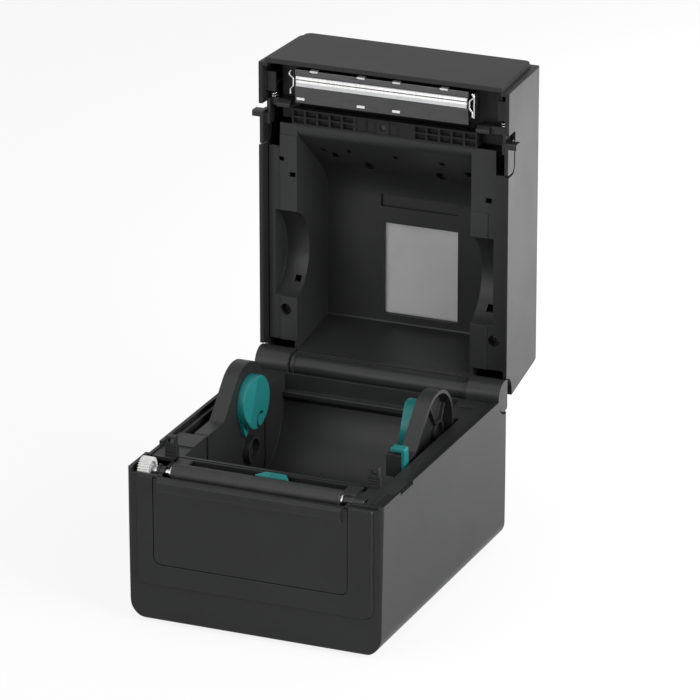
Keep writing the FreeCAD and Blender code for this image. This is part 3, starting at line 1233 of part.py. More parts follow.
def usb_port():
    middle = BOARD_TOP + USB_HEIGHT / 2
    wide, high = USB_MOUTH
    tongue_wide, tongue_high = USB_TONGUE
    floor = BODY_DEPTH - USB_DEPTH
    shell = box(USB_X - USB_HALF, USB_X + USB_HALF, BOARD_REAR - USB_DEPTH - 1, BODY_DEPTH - WELD,
                BOARD_TOP, BOARD_TOP + USB_HEIGHT)
    mouth = box(USB_X - wide, USB_X + wide, floor, BODY_DEPTH + 1, middle - high, middle + high)
    tongue = box(USB_X - tongue_wide, USB_X + tongue_wide, floor - WELD, BODY_DEPTH - 1.5,
                 middle - tongue_high, middle + tongue_high)
    return join(cut(shell, mouth), tongue)


def switch_housing():
    rear = BODY_DEPTH + HOUSING_BEZEL
    frame = box(SWITCH_X - HOUSING_HALF, SWITCH_X + HOUSING_HALF, BODY_DEPTH - HOUSING_DEPTH,
                BODY_DEPTH + WELD, SWITCH_Z - HOUSING_HEIGHT, SWITCH_Z + HOUSING_HEIGHT)
    half = HOUSING_HALF + HOUSING_BEZEL
    height = HOUSING_HEIGHT + HOUSING_BEZEL
    bezel = box(SWITCH_X - half, SWITCH_X + half, BODY_DEPTH, rear, SWITCH_Z - height, SWITCH_Z + height)
    room_half = ROCKER_HALF + SEAT_GAP
    room_height = ROCKER_HEIGHT + LATCH_GAP
    room = box(SWITCH_X - room_half, SWITCH_X + room_half, BODY_DEPTH - HOUSING_DEPTH + 4, rear + 1,
               SWITCH_Z - room_height, SWITCH_Z + room_height)
    pivot = rod("x", ROCKER_PIVOT, SWITCH_X - HOUSING_HALF, SWITCH_X + HOUSING_HALF, PIVOT_SETBACK, SWITCH_Z)
    return join(cut(join(frame, bezel), room), pivot)


def power_rocker():
    """Rocker with one end pressed in: its face is bent in the middle by the angle it rocks through."""
    face = PIVOT_SETBACK + ROCKER_FACE
    rise = ROCKER_HEIGHT * math.tan(math.radians(ROCKER_TIP / 2))
    profile = [(PIVOT_SETBACK - 3, SWITCH_Z - 3), (PIVOT_SETBACK - 3, SWITCH_Z + 3),
               (PIVOT_SETBACK + 2, SWITCH_Z + ROCKER_HEIGHT - 1.0, 1.0),
               (face - 0.2, SWITCH_Z + ROCKER_HEIGHT - 0.6, 0.6), (face - rise * 0.4, SWITCH_Z),
               (face + rise * 1.6, SWITCH_Z - ROCKER_HEIGHT + 0.9, 0.6),
               (PIVOT_SETBACK + 2, SWITCH_Z - ROCKER_HEIGHT + 1.0, 1.0)]
    rocker = prism(profile, "x", SWITCH_X - ROCKER_HALF, SWITCH_X + ROCKER_HALF)
    return cut(rocker, rod("x", ROCKER_PIVOT + RUN_FIT, SWITCH_X - HOUSING_HALF, SWITCH_X + HOUSING_HALF,
                           PIVOT_SETBACK, SWITCH_Z))


# Lid, outside

def lid_block(inset, low):
    """The lid's outer form, or its hollow when inset by the wall."""
    top = LID_HEIGHT - inset
    low_half = HALF - inset
    top_half = HALF - LID_TAPER - inset
    edge = LID_EDGE_RADIUS - inset
    front = LID_LENGTH - inset
    section = prism([(-low_half, low), (low_half, low), (top_half, top, edge), (-top_half, top, edge)],
                    "z", -LID_REAR - 1, LID_LENGTH)
    side = prism([(low, front), (low, -LID_REAR + inset),
                  (top, LID_REAR_LEAN - LID_REAR + inset, LID_REAR_RADIUS - inset),
                  (top, front, LID_FRONT_RADIUS - inset)], "x", -HALF, HALF)
    return section.common(side)


def cover_outline(shrink, low):
    """Outline of the lid's front cover, inset from the lid's edge and tapering to the top."""
    top = LID_HEIGHT - COVER_INSET - shrink
    low_half = HALF - COVER_INSET - shrink - COVER_TAPER * low / LID_HEIGHT
    top_half = HALF - COVER_INSET - shrink - COVER_TAPER * top / LID_HEIGHT
    corner = COVER_RADIUS - shrink
    return [(-low_half, low), (low_half, low), (top_half, top, corner), (-top_half, top, corner)]


def lever_slot(side):
    """Opening in the lid's side for a release lever's tab, lip and travel."""
    rear = TAB_REAR - TAB_GAP
    front = LIP_FRONT + LEVER_TRAVEL + TAB_GAP
    high = TAB_HIGH + TAB_GAP + 0.8
    return prism([(-2, rear), (high, rear, TAB_RADIUS + TAB_GAP), (high, front, 2.0), (-2, front)],
                 "x", *span(side * (HALF - WALL - 3), side * (HALF + 1)))


def barrel_well(side):
    """Room in the lid's pieces for a hinge barrel, in the lid's frame."""
    x0, x1 = span(side * (BARREL_INNER_X - HINGE_BAR_GAP / 2), side * (HALF + 1))
    return rod("x", BARREL_RADIUS + BARREL_CLEARANCE, x0, x1, 0, 0)


def screw_seats():
    """Where the liner's screws seat: across, forward and the height of the seat's face."""
    flat = [(x, z, LINER_FLANGE_LOW + SCREW_CUP_DEPTH) for x, z in LID_SCREWS]
    sloped = [(x, LINER_FRONT - back, SLOPE_CUP_HIGH) for x, back in SLOPE_HOLES]
    return flat + sloped


def spring_seat(side):
    """Ledge that a lever's spring pushes on, with the plate that covers the spring's front half."""
    x0, x1 = span(side * (SPRING_SEAT_X - 3), side * (HALF - WALL + WELD))
    low = SPRING_SEAT_Y - 5
    start = HOOK_FRONT + SPRING_LENGTH
    seat = box(x0, x1, low, SPRING_SEAT_Y + 6, start, start + SPRING_SEAT_THICK)
    cover_start = HOOK_FRONT + LEVER_TRAVEL + LATCH_GAP
    return join(seat, box(x0, x1, low, low + SPRING_COVER, cover_start, cover_start + SPRING_COVER_LENGTH))


def lid_shell():
    roof = LID_HEIGHT - WALL
    through = (roof - 3, LID_HEIGHT + 1)
    shell = cut(lid_block(0, LID_GAP), lid_block(WALL, -1))
    bosses = [rod("y", CONTROL_BOSS_RADIUS, PANEL_BOARD_HIGH, roof + WELD, x, z) for x, z in CONTROL_BOSSES]
    posts = [rod("y", LID_SCREW_POST, seat + SCREW_CUP_WALL, roof + WELD, x, z)
             for x, z, seat in screw_seats()]
    shell = join(shell, *both(spring_seat), *bosses, *posts)
    bores = [rod("y", CASE_SCREW_SHANK + RUN_FIT / 2, seat, seat + LID_SCREW_LENGTH + 1, x, z)
             for x, z, seat in screw_seats()]
    bar_well = rod("x", HINGE_COLLAR_RADIUS + SEAT_GAP, -HALF - 1, HALF + 1, 0, 0)
    front = prism(cover_outline(COVER_PLUG_INSET - SEAT_GAP, -2), "z", LID_LENGTH - WALL - 2, LID_LENGTH + 1)
    window = box(WINDOW_X - WINDOW_HALF, WINDOW_X + WINDOW_HALF, *through, WINDOW_REAR, WINDOW_FRONT)
    button = rod("y", BUTTON_RADIUS + SEAT_GAP, *through, BUTTON_X, CONTROL_FORWARD)
    light = rod("y", LIGHT_RADIUS + RUN_FIT, *through, LIGHT_X, CONTROL_FORWARD)
    return cut(shell, bar_well, *both(barrel_well), front, window, button, light, *both(lever_slot), *bores)


def lid_front_cover():
    face = taper(cover_outline(0, LID_GAP), LID_LENGTH, cover_outline(COVER_SOFTEN, LID_GAP + SEAT_GAP),
                 LID_LENGTH + COVER_PROUD, "z")
    plug = prism(cover_outline(COVER_PLUG_INSET, COVER_PLUG_LOW), "z", LID_LENGTH - COVER_PLUG,
                 LID_LENGTH + SLIDE_GAP)
    hollow = prism(cover_outline(COVER_PLUG_INSET + COVER_PLUG_WALL, COVER_PLUG_LOW - 4), "z",
                   LID_LENGTH - COVER_PLUG - 1, LID_LENGTH)
    return join(face, cut(plug, hollow))


# Lid, inside

def cavity(grow):
    """Hollow over the roll with a rounded front edge, or its outside when grown by the liner's wall."""
    low = LINER_FLANGE_LOW - LINER_FLANGE_THICK
    top = CEILING + grow
    crease = LINER_FRONT - LINER_SLOPE
    run = LINER_SLOPE / (CEILING - SLOPE_FOOT)
    edge = LINER_FRONT - run * (LINER_FLANGE_LOW - SLOPE_FOOT)
    back = [(low, LINER_REAR - grow), (top, LINER_REAR + LINER_REAR_SLOPE - grow, LINER_REAR_CREASE + grow),
            (top, crease + grow / 2, LINER_SLOPE_RADIUS + grow)]
    if grow:
        front = [(SLOPE_FOOT, LINER_FRONT + grow), (SLOPE_FOOT, LINER_REAR - grow)]
    else:
        front = [(LINER_FLANGE_LOW, edge, LINER_EDGE_RADIUS), (LINER_FLANGE_LOW, LINER_FRONT + 1),
                 (low, LINER_FRONT + 1)]
    return prism(back + front, "x", MECH_X - LINER_HALF - grow, MECH_X + LINER_HALF + grow)


def scoop(grow):
    """Round scoops beside the hollow that clear the roll holders."""
    half = SCOOP_HALF + grow
    return rod("x", SCOOP_RADIUS + grow, MECH_X - half, MECH_X + half, -SCOOP_DROP, SCOOP_FORWARD)


def lid_liner():
    """Dark inner moulding of the lid: hollow over the roll, window frame, screw cups and hinge bar."""
    flange_top = LINER_FLANGE_LOW + LINER_FLANGE_THICK
    flange = box(-LINER_FLANGE_HALF, LINER_FLANGE_HALF, LINER_FLANGE_LOW, flange_top,
                 LINER_FLANGE_REAR, LINER_FRONT)
    pads = [box(*span(MECH_X + side * LINER_HALF, MECH_X + side * (LINER_HALF + LINER_PAD)),
                LINER_FLANGE_LOW - LINER_PAD_THICK, LINER_FLANGE_LOW + WELD, LINER_FLANGE_REAR,
                PAD_FRONT[side])
            for side in (-1, 1)]
    bar_end = BARREL_INNER_X - HINGE_BAR_GAP
    tongue = prism([(LINER_TONGUE_LOW, 2), (LINER_TONGUE_LOW, LINER_REAR),
                    (flange_top, LINER_REAR + SEAT_GAP), (flange_top, LINER_REAR - LINER_WALL)],
                   "x", -bar_end, bar_end)
    bar = rod("x", HINGE_BAR_RADIUS, -bar_end, bar_end, 0, 0)
    collar_start = bar_end - HINGE_COLLAR_WIDTH
    collars = [rod("x", HINGE_COLLAR_RADIUS, *span(side * bar_end, side * collar_start), 0, 0)
               for side in (-1, 1)]
    posts = [rod("y", LINER_POST_RADIUS, CEILING, LID_HEIGHT - WALL, x, z) for x, z in LINER_POSTS]
    left = WINDOW_X - WINDOW_HALF
    right = WINDOW_X + WINDOW_HALF
    wall = WINDOW_FRAME
    frame = box(left - wall, right + wall, CEILING, CEILING + WINDOW_FRAME_HIGH, WINDOW_REAR - wall,
                WINDOW_FRONT + wall)
    groove_start = WINDOW_FRONT + GROOVE_START
    groove_end = groove_start + GROOVE_LENGTH
    groove_top = CEILING + GROOVE_DEPTH
    groove_left = left - LINER_WALL
    backing = box(groove_left - wall, right + wall, CEILING, groove_top + wall, groove_start - wall,
                  groove_end + wall)
    cups = []
    for x, z, seat in screw_seats():
        start = max(LINER_FLANGE_LOW, seat - 3 * SCREW_CUP_DEPTH)
        cups.append(rod("y", SCREW_CUP_RADIUS, start, seat + SCREW_CUP_WALL, x, z))
    above = box(-HALF, HALF, LINER_FLANGE_LOW, LID_HEIGHT, -LID_REAR, LID_LENGTH)
    outer = join(cavity(LINER_WALL), scoop(LINER_WALL)).common(above)
    liner = cut(join(flange, *pads, tongue, outer, *posts, frame, backing, *cups), cavity(0), scoop(0))
    lever_room = [box(*span(side * LEVER_ROOM_X, side * HALF), 0, HOOK_HIGH + 2, TAB_REAR - 3,
                      LINER_FRONT + 5) for side in (-1, 1)]
    pin_end = bar_end - HINGE_PIN_REACH
    pin_bores = [rod("x", HINGE_PIN_RADIUS + RUN_FIT, *span(side * pin_end, side * BARREL_INNER_X), 0, 0)
                 for side in (-1, 1)]
    holes = [(x, LINER_FRONT - back, dx, dz) for x, back, dx, dz in FLANGE_HOLES + SLOPE_SLOTS]
    holes += [(x, SCOOP_FORWARD - back, dx, dz) for x, back, dx, dz in SCOOP_HOLES]
    square_holes = [box(x - dx, x + dx, 0, CEILING, z - dz, z + dz) for x, z, dx, dz in holes]
    screw_holes = []
    for x, z, seat in screw_seats():
        screw_holes.append(rod("y", SCREW_CUP_BORE, 0, seat, x, z))
        screw_holes.append(rod("y", CASE_SCREW_SHANK + SEAT_GAP, seat - 1, seat + SCREW_CUP_WALL + 1, x, z))
    window = box(left, right, CEILING - 1, LID_HEIGHT, WINDOW_REAR, WINDOW_FRONT)
    groove = box(groove_left, right, CEILING - 1, groove_top, groove_start, groove_end)
    return cut(join(liner, bar, *collars), *both(barrel_well), *lever_room, *pin_bores, *square_holes,
               *screw_holes, window, groove)


def media_window():
    half = WINDOW_HALF + WINDOW_BORDER
    pane_half = WINDOW_HALF - SLIDE_GAP
    flange_high = LID_HEIGHT - WALL - SLIDE_GAP
    flange = box(WINDOW_X - half, WINDOW_X + half, CEILING + WINDOW_FRAME_HIGH + SLIDE_GAP, flange_high,
                 WINDOW_REAR - WINDOW_BORDER, WINDOW_FRONT + WINDOW_BORDER)
    pane = box(WINDOW_X - pane_half, WINDOW_X + pane_half, flange_high - WELD, LID_HEIGHT - WINDOW_PANE_SINK,
               WINDOW_REAR + SLIDE_GAP, WINDOW_FRONT - SLIDE_GAP)
    return join(flange, pane)


def lid_screws():
    return group(*[screw("y", x, z, seat - CASE_SCREW_HIGH, seat, seat + LID_SCREW_LENGTH)
                   for x, z, seat in screw_seats()])


# Print head in the lid

def carrier_wing(side, edge):
    """Flat wing over a release lever, hung from the carrier's end."""
    front = HEAD_FRONT - 1
    rear = BAR_REAR + BAR_RIB
    web = box(*span(edge, edge - side * CARRIER_BACK), WING_LOW, CARRIER_HIGH, rear, front)
    return join(web, box(*span(edge - side, side * WING_EDGE), WING_LOW, WING_LOW + WING_THICK, rear, front))


def head_carrier():
    """Bar with sunk cells and the paper receiver's hole, and the back plate with the head springs' pins."""
    bar = box(CARRIER_LEFT, CARRIER_RIGHT, BAR_LOW, BAR_HIGH, BAR_REAR, BAR_FRONT)
    wall = box(CARRIER_LEFT, CARRIER_RIGHT, BAR_HIGH - WELD, CARRIER_HIGH, BAR_REAR, BAR_REAR + CARRIER_WALL)
    back = box(CARRIER_LEFT, CARRIER_RIGHT, CARRIER_HIGH - CARRIER_BACK, CARRIER_HIGH, BAR_REAR, HEAD_FRONT)
    wings = [carrier_wing(-1, CARRIER_LEFT), carrier_wing(1, CARRIER_RIGHT)]
    posts = [rod("y", POST_RADIUS, CARRIER_HIGH - WELD, LID_HEIGHT - WALL, MECH_X + x, PRINT_LINE - setback)
             for x, setback in CARRIER_POSTS]
    pin_start = CARRIER_HIGH - CARRIER_BACK - HEAD_PIN
    pin_radius = HEAD_SPRING_RADIUS - HEAD_WIRE - SEAT_GAP
    pins = [rod("y", pin_radius, pin_start, CARRIER_HIGH - WELD, MECH_X + x, HEAD_MIDDLE)
            for x in (-HEAD_SPRING_X, HEAD_SPRING_X)]
    cells = []
    rows = [(BAR_REAR + BAR_RIB, BAR_CENTRE - BAR_RIB / 2), (BAR_CENTRE + BAR_RIB / 2, BAR_FRONT - BAR_RIB)]
    for side, edge in ((-1, CARRIER_LEFT), (1, CARRIER_RIGHT)):
        for column in range(BAR_CELLS):
            middle = edge - side * (BAR_RIB + BAR_CELL_HALF + BAR_CELL_PITCH * column)
            x0 = middle - BAR_CELL_HALF
            x1 = middle + BAR_CELL_HALF
            cells += [box(x0, x1, BAR_LOW - 1, BAR_LOW + 3, low, high) for low, high in rows]
    for place in BAR_MIDDLE:
        middle = MECH_X + place
        cells.append(box(middle - BAR_CELL_HALF, middle + BAR_CELL_HALF, BAR_LOW - 1, BAR_LOW + BAR_RIB,
                         BAR_REAR + BAR_RIB, BAR_FRONT - BAR_RIB))
    hole = rod("y", RECEIVER_RADIUS + SLIDE_GAP, BAR_LOW - 1, BAR_HIGH - 1, MECH_X, BAR_CENTRE)
    return cut(join(bar, wall, back, *wings, *posts, *pins), *cells, hole)


def gap_receiver():
    return rod("y", RECEIVER_RADIUS, BAR_LOW + BAR_RIB, BAR_HIGH - 1, MECH_X, BAR_CENTRE)


def head_heatsink():
    left = MECH_X - HEAD_HALF + 1
    right = MECH_X + HEAD_HALF - 1
    block = box(left, right, PLATE_HIGH, HEATSINK_HIGH, HEAD_REAR + 3, HEAD_FRONT - PLATE_THICK)
    channel = box(left + 8, right - 8, HEATSINK_HIGH - CHANNEL_DEPTH, HEATSINK_HIGH + 1, HEAD_REAR + 7,
                  HEAD_FRONT - 7)
    return cut(block, channel)


def thermal_strip():
    return box(MECH_X - HEAD_HALF + 1, MECH_X + HEAD_HALF - 1, STRIP_LOW, PLATE_HIGH, STRIP_REAR, STRIP_FRONT)


def head_plates():
    """Two formed cover plates on either side of the strip, notched for the tabs that hold them."""
    left = MECH_X - HEAD_HALF
    right = MECH_X + HEAD_HALF
    front_inner = HEAD_FRONT - PLATE_THICK
    rear_inner = HEAD_REAR + PLATE_THICK
    front = prism([(PLATE_HIGH, STRIP_FRONT + SLIDE_GAP), (PLATE_LOW, STRIP_FRONT + SLIDE_GAP, 0.3),
                   (PLATE_LOW + 0.4, HEAD_FRONT, 0.5), (PLATE_HIGH + 3, HEAD_FRONT, 0.3),
                   (PLATE_HIGH + 3, front_inner), (PLATE_HIGH, front_inner)], "x", left, right)
    rear = prism([(PLATE_HIGH, STRIP_REAR - SLIDE_GAP), (PLATE_LOW, STRIP_REAR - SLIDE_GAP, 0.3),
                  (PLATE_LOW + 0.6, HEAD_REAR, 0.6), (PLATE_HIGH + 4, HEAD_REAR, 0.3),
                  (PLATE_HIGH + 4, rear_inner), (PLATE_HIGH, rear_inner)], "x", left, right)
    notch = TAB_HALF + 2 * SLIDE_GAP
    front_start = HEAD_FRONT - TAB_DEPTH
    rear_start = HEAD_REAR + TAB_DEPTH + SLIDE_GAP
    rear_end = rear_start + TAB_DEPTH + SLIDE_GAP
    front_notches = [box(MECH_X + x - notch, MECH_X + x + notch, 0, LID_HEIGHT, front_start, HEAD_FRONT + 1)
                     for x in FRONT_TABS]
    rear_notches = [box(MECH_X + x - notch, MECH_X + x + notch, 0, PLATE_HIGH, rear_start, rear_end)
                    for x in REAR_TABS]
    return group(cut(front, *front_notches), cut(rear, *rear_notches))


def head_tabs():
    """Small white tabs let into both cover plates."""
    low = PLATE_LOW + SLIDE_GAP
    rear = HEAD_REAR + TAB_DEPTH + 2 * SLIDE_GAP
    rear_end = rear + TAB_DEPTH - SLIDE_GAP
    tabs = [box(MECH_X + x - TAB_HALF, MECH_X + x + TAB_HALF, low, PLATE_HIGH + 2.4, HEAD_FRONT - 1,
                HEAD_FRONT) for x in FRONT_TABS]
    tabs += [box(MECH_X + x - TAB_HALF, MECH_X + x + TAB_HALF, low, PLATE_HIGH, rear, rear_end)
             for x in REAR_TABS]
    return group(*tabs)


def head_clips():
    """Bent wire clips that hold the head at both ends, and a flat strip beside the right one."""
    level = PLATE_LOW - SLIDE_GAP
    clips = []
    for side in (-1, 1):
        x = MECH_X + side * (HEAD_HALF + 1.4)
        path = [(x + side * 1.2, PRINT_LINE + 5.5), (x + side * 2.6, PRINT_LINE + 3.1, 1.0),
                (x - side * 0.4, PRINT_LINE + 0.5, 1.4), (x - side * 0.4, PRINT_LINE - 4.5, 1.4),
                (x + side * 1.6, PRINT_LINE - 6.9, 1.0), (x + side * 1.6, PRINT_LINE - 9.9)]
        clips.append(bent_wire(path, CLIP_WIRE, level))
    strip_x = MECH_X + HEAD_HALF + 3.6
    clips.append(box(strip_x, strip_x + 0.8, level, level + 6, PRINT_LINE - 10.5, PRINT_LINE + 5.5))
    return group(*clips)


def head_springs():
    seat = HEATSINK_HIGH - CHANNEL_DEPTH + HEAD_WIRE
    length = CARRIER_HIGH - CARRIER_BACK - HEAD_TRAVEL - SEAT_GAP - HEAD_WIRE - seat
    places = [V(MECH_X + x, seat, HEAD_MIDDLE) for x in (-HEAD_SPRING_X, HEAD_SPRING_X)]
    return group(*[coil(HEAD_SPRING_RADIUS, HEAD_WIRE, HEAD_SPRING_TURNS, length, place, V(0, 1, 0))
                   for place in places])


# Release levers and controls in the lid

def release_lever(side):
    """Hook, arm, rail, side tab and finger lip of a lid release lever."""
    x = MECH_X + side * LATCH_HALF_SPACING
    outer = side * (HALF - TAB_INSET)
    rail_out = side * LEVER_RAIL_OUT
    rail_in = rail_out - side * LEVER_RAIL
    hook = prism([(HOOK_LOW, HOOK_REAR, 0.6), (HOOK_LOW, HOOK_FRONT - 2.4, 0.8),
                  (LEVER_ARM_LOW, HOOK_FRONT, 0.8), (HOOK_HIGH, HOOK_FRONT), (HOOK_HIGH, HOOK_REAR)],
                 "x", x - HOOK_HALF, x + HOOK_HALF)
    arm = box(*span(x, rail_out), LEVER_ARM_LOW, HOOK_HIGH, HOOK_REAR, HOOK_FRONT)
    rail = box(*span(rail_in, rail_out), HOOK_LOW, HOOK_HIGH, LEVER_RAIL_REAR, HOOK_FRONT)
    bridge = box(*span(rail_in, outer), BRIDGE_LOW, BRIDGE_HIGH, LEVER_RAIL_REAR,
                 LEVER_RAIL_REAR + LEVER_BRIDGE)
    low = LID_GAP + SEAT_GAP
    tab = prism([(low, TAB_REAR), (TAB_HIGH, TAB_REAR, TAB_RADIUS), (TAB_HIGH, LIP_FRONT, 1.0),
                 (low, LIP_FRONT)], "x", *span(outer - side * WALL, outer))
    lip = prism([(low, TAB_FRONT, 0.8), (LEVER_LIP_HIGH, TAB_FRONT + 1, 0.8),
                 (LEVER_LIP_HIGH, LIP_FRONT, 0.8), (low, LIP_FRONT, 0.8)],
                "x", *span(outer - side * WALL, side * (HALF + LEVER_LIP_REACH)))
    return join(hook, arm, rail, bridge, tab, lip)


def release_lever_left():
    return release_lever(-1)


def release_lever_right():
    return release_lever(1)


def lever_spring(side):
    return coil(LEVER_SPRING_RADIUS, LEVER_WIRE, LEVER_SPRING_TURNS, SPRING_LENGTH - 2 * LEVER_WIRE,
                V(side * SPRING_SEAT_X, SPRING_SEAT_Y, HOOK_FRONT + LEVER_WIRE), V(0, 0, 1))


def lever_spring_left():
    return lever_spring(-1)


def lever_spring_right():
    return lever_spring(1)


def feed_button():
    roof = LID_HEIGHT - WALL
    crown = LID_HEIGHT + BUTTON_PROUD
    low = roof - BUTTON_FLANGE_THICK
    cap = rod("y", BUTTON_RADIUS, low, crown, BUTTON_X, CONTROL_FORWARD)
    flange = rod("y", BUTTON_RADIUS + BUTTON_FLANGE, low - SLIDE_GAP, roof - SLIDE_GAP, BUTTON_X,
                 CONTROL_FORWARD)
    stem = rod("y", BUTTON_STEM, PANEL_BOARD_HIGH + BUTTON_TRAVEL + SEAT_GAP, low, BUTTON_X, CONTROL_FORWARD)
    dish = Part.makeSphere(BUTTON_DISH, V(BUTTON_X, crown + BUTTON_DISH - BUTTON_DISH_DEPTH, CONTROL_FORWARD))
    return cut(join(cap, flange, stem), dish)


def status_light():
    return rod("y", LIGHT_RADIUS, PANEL_BOARD_HIGH, LID_HEIGHT + LIGHT_PROUD, LIGHT_X, CONTROL_FORWARD)


def panel_board():
    corners = rectangle(LIGHT_X - PANEL_BOARD_MARGIN, BUTTON_X + PANEL_BOARD_MARGIN,
                        CONTROL_FORWARD - PANEL_BOARD_REACH, CONTROL_FORWARD + PANEL_BOARD_REACH, 1.5)
    return prism(corners, "y", PANEL_BOARD_HIGH - BOARD_THICK, PANEL_BOARD_HIGH)


BASE_PIECES = [base_shell, front_panel, front_cover, rubber_feet, case_screws, media_tray,
               hinge_pins, mechanism_frame, platen_shaft, platen_rubber,
               platen_bushes, platen_gear, idler_gear, idler_pin, motor_pinion,
               motor_shaft, stepper_motor, latch_catches, paper_guide, sensor_rail,
               sensor_carriage, media_sensor, left_holder, right_holder, left_hub,
               right_hub, left_rack, right_rack, centring_pinion, rack_plate,
               holder_lock, main_board, board_parts, power_inlet, usb_port,
               switch_housing, power_rocker]
LID_PIECES = [lid_shell, lid_front_cover, lid_liner, media_window, lid_screws, head_carrier,
              gap_receiver, head_heatsink, thermal_strip, head_plates, head_tabs,
              head_clips, head_springs, release_lever_left, release_lever_right,
              lever_spring_left, lever_spring_right, feed_button, status_light,
              panel_board]


def main():
    os.makedirs("parts", exist_ok=True)
    for piece in BASE_PIECES + LID_PIECES:
        shape = piece()
        if piece in LID_PIECES:
            shape.translate(LID_PLACE)
        shape.translate(V(0, ORIGIN_SHIFT, 0))
        shape.exportStep("parts/" + piece.__name__ + ".step")
        print(piece.__name__, shape.isValid(), len(shape.Solids), round(shape.Volume))


main()
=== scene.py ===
"""Looks of an open desktop label and receipt printer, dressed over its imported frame."""

import logging
import math
from dataclasses import dataclass, field
from enum import Enum
from typing import Any

import bmesh
import bpy
import numpy as np
from mathutils import Matrix, Vector


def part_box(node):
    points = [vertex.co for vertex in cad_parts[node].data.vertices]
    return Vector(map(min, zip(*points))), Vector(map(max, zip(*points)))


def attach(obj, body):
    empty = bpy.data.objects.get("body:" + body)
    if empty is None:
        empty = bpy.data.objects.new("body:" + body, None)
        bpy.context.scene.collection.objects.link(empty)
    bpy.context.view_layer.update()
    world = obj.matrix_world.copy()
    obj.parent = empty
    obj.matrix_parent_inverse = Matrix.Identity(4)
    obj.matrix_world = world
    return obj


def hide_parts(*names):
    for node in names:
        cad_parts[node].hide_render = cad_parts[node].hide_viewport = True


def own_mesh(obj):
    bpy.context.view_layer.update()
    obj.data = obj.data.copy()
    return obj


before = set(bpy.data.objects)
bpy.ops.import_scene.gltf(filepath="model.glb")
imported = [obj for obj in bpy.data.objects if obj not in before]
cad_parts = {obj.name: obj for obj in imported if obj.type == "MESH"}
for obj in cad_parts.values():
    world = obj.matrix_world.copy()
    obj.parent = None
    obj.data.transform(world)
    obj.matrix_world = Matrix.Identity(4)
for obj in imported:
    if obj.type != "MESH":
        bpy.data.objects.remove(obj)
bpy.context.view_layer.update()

LOG = logging.getLogger("printer")
MM = 0.001

Colour = tuple[float, float, float]
Point = tuple[float, float, float]


class Axis(Enum):
    """Row axes, as the index of a coordinate."""

    X = 0
    Y = 1
    Z = 2


class Signal:
    """A value in a node tree, with the arithmetic that adds Math nodes."""

    def __init__(self, tree: bpy.types.NodeTree, socket: bpy.types.NodeSocket) -> None:
        """Keep the tree and the output socket that carries the value."""
        self.tree = tree
        self.socket = socket

    def pick(self, output: str) -> "Signal":
        """Another output of the same node."""
        return Signal(self.tree, self.socket.node.outputs[output])

    def math(self, operation: str, first: Any, second: Any = 0.0) -> "Signal":
        """One Math node.

        Args:
            operation: The Math node's operation.
            first: A signal or a number.
            second: A signal or a number.

        Returns:
            The node's value.
        """
        made = self.tree.nodes.new("ShaderNodeMath")
        made.operation = operation
        for place, value in enumerate((first, second)):
            if isinstance(value, Signal):
                self.tree.links.new(value.socket, made.inputs[place])
            else:
                made.inputs[place].default_value = float(value)
        return Signal(self.tree, made.outputs[0])

    def __add__(self, other: Any) -> "Signal":
        """Sum."""
        return self.math("ADD", self, other)

    def __radd__(self, other: Any) -> "Signal":
        """Sum with a number on the left."""
        return self.math("ADD", other, self)

    def __sub__(self, other: Any) -> "Signal":
        """Difference."""
        return self.math("SUBTRACT", self, other)

    def __rsub__(self, other: Any) -> "Signal":
        """Difference from a number on the left."""
        return self.math("SUBTRACT", other, self)

    def __mul__(self, other: Any) -> "Signal":
        """Product."""
        return self.math("MULTIPLY", self, other)

    def __rmul__(self, other: Any) -> "Signal":
        """Product with a number on the left."""
        return self.math("MULTIPLY", other, self)

    def __truediv__(self, other: Any) -> "Signal":
        """Quotient."""
        return self.math("DIVIDE", self, other)

    def __rtruediv__(self, other: Any) -> "Signal":
        """Quotient of a number on the left."""
        return self.math("DIVIDE", other, self)

    def __abs__(self) -> "Signal":
        """Size without sign."""
        return self.math("ABSOLUTE", self)

    def __lt__(self, other: Any) -> "Signal":
        """One where the value is below the other, else nought."""
        return self.math("LESS_THAN", self, other)

    def __gt__(self, other: Any) -> "Signal":
        """One where the value is above the other, else nought."""
        return self.math("GREATER_THAN", self, other)


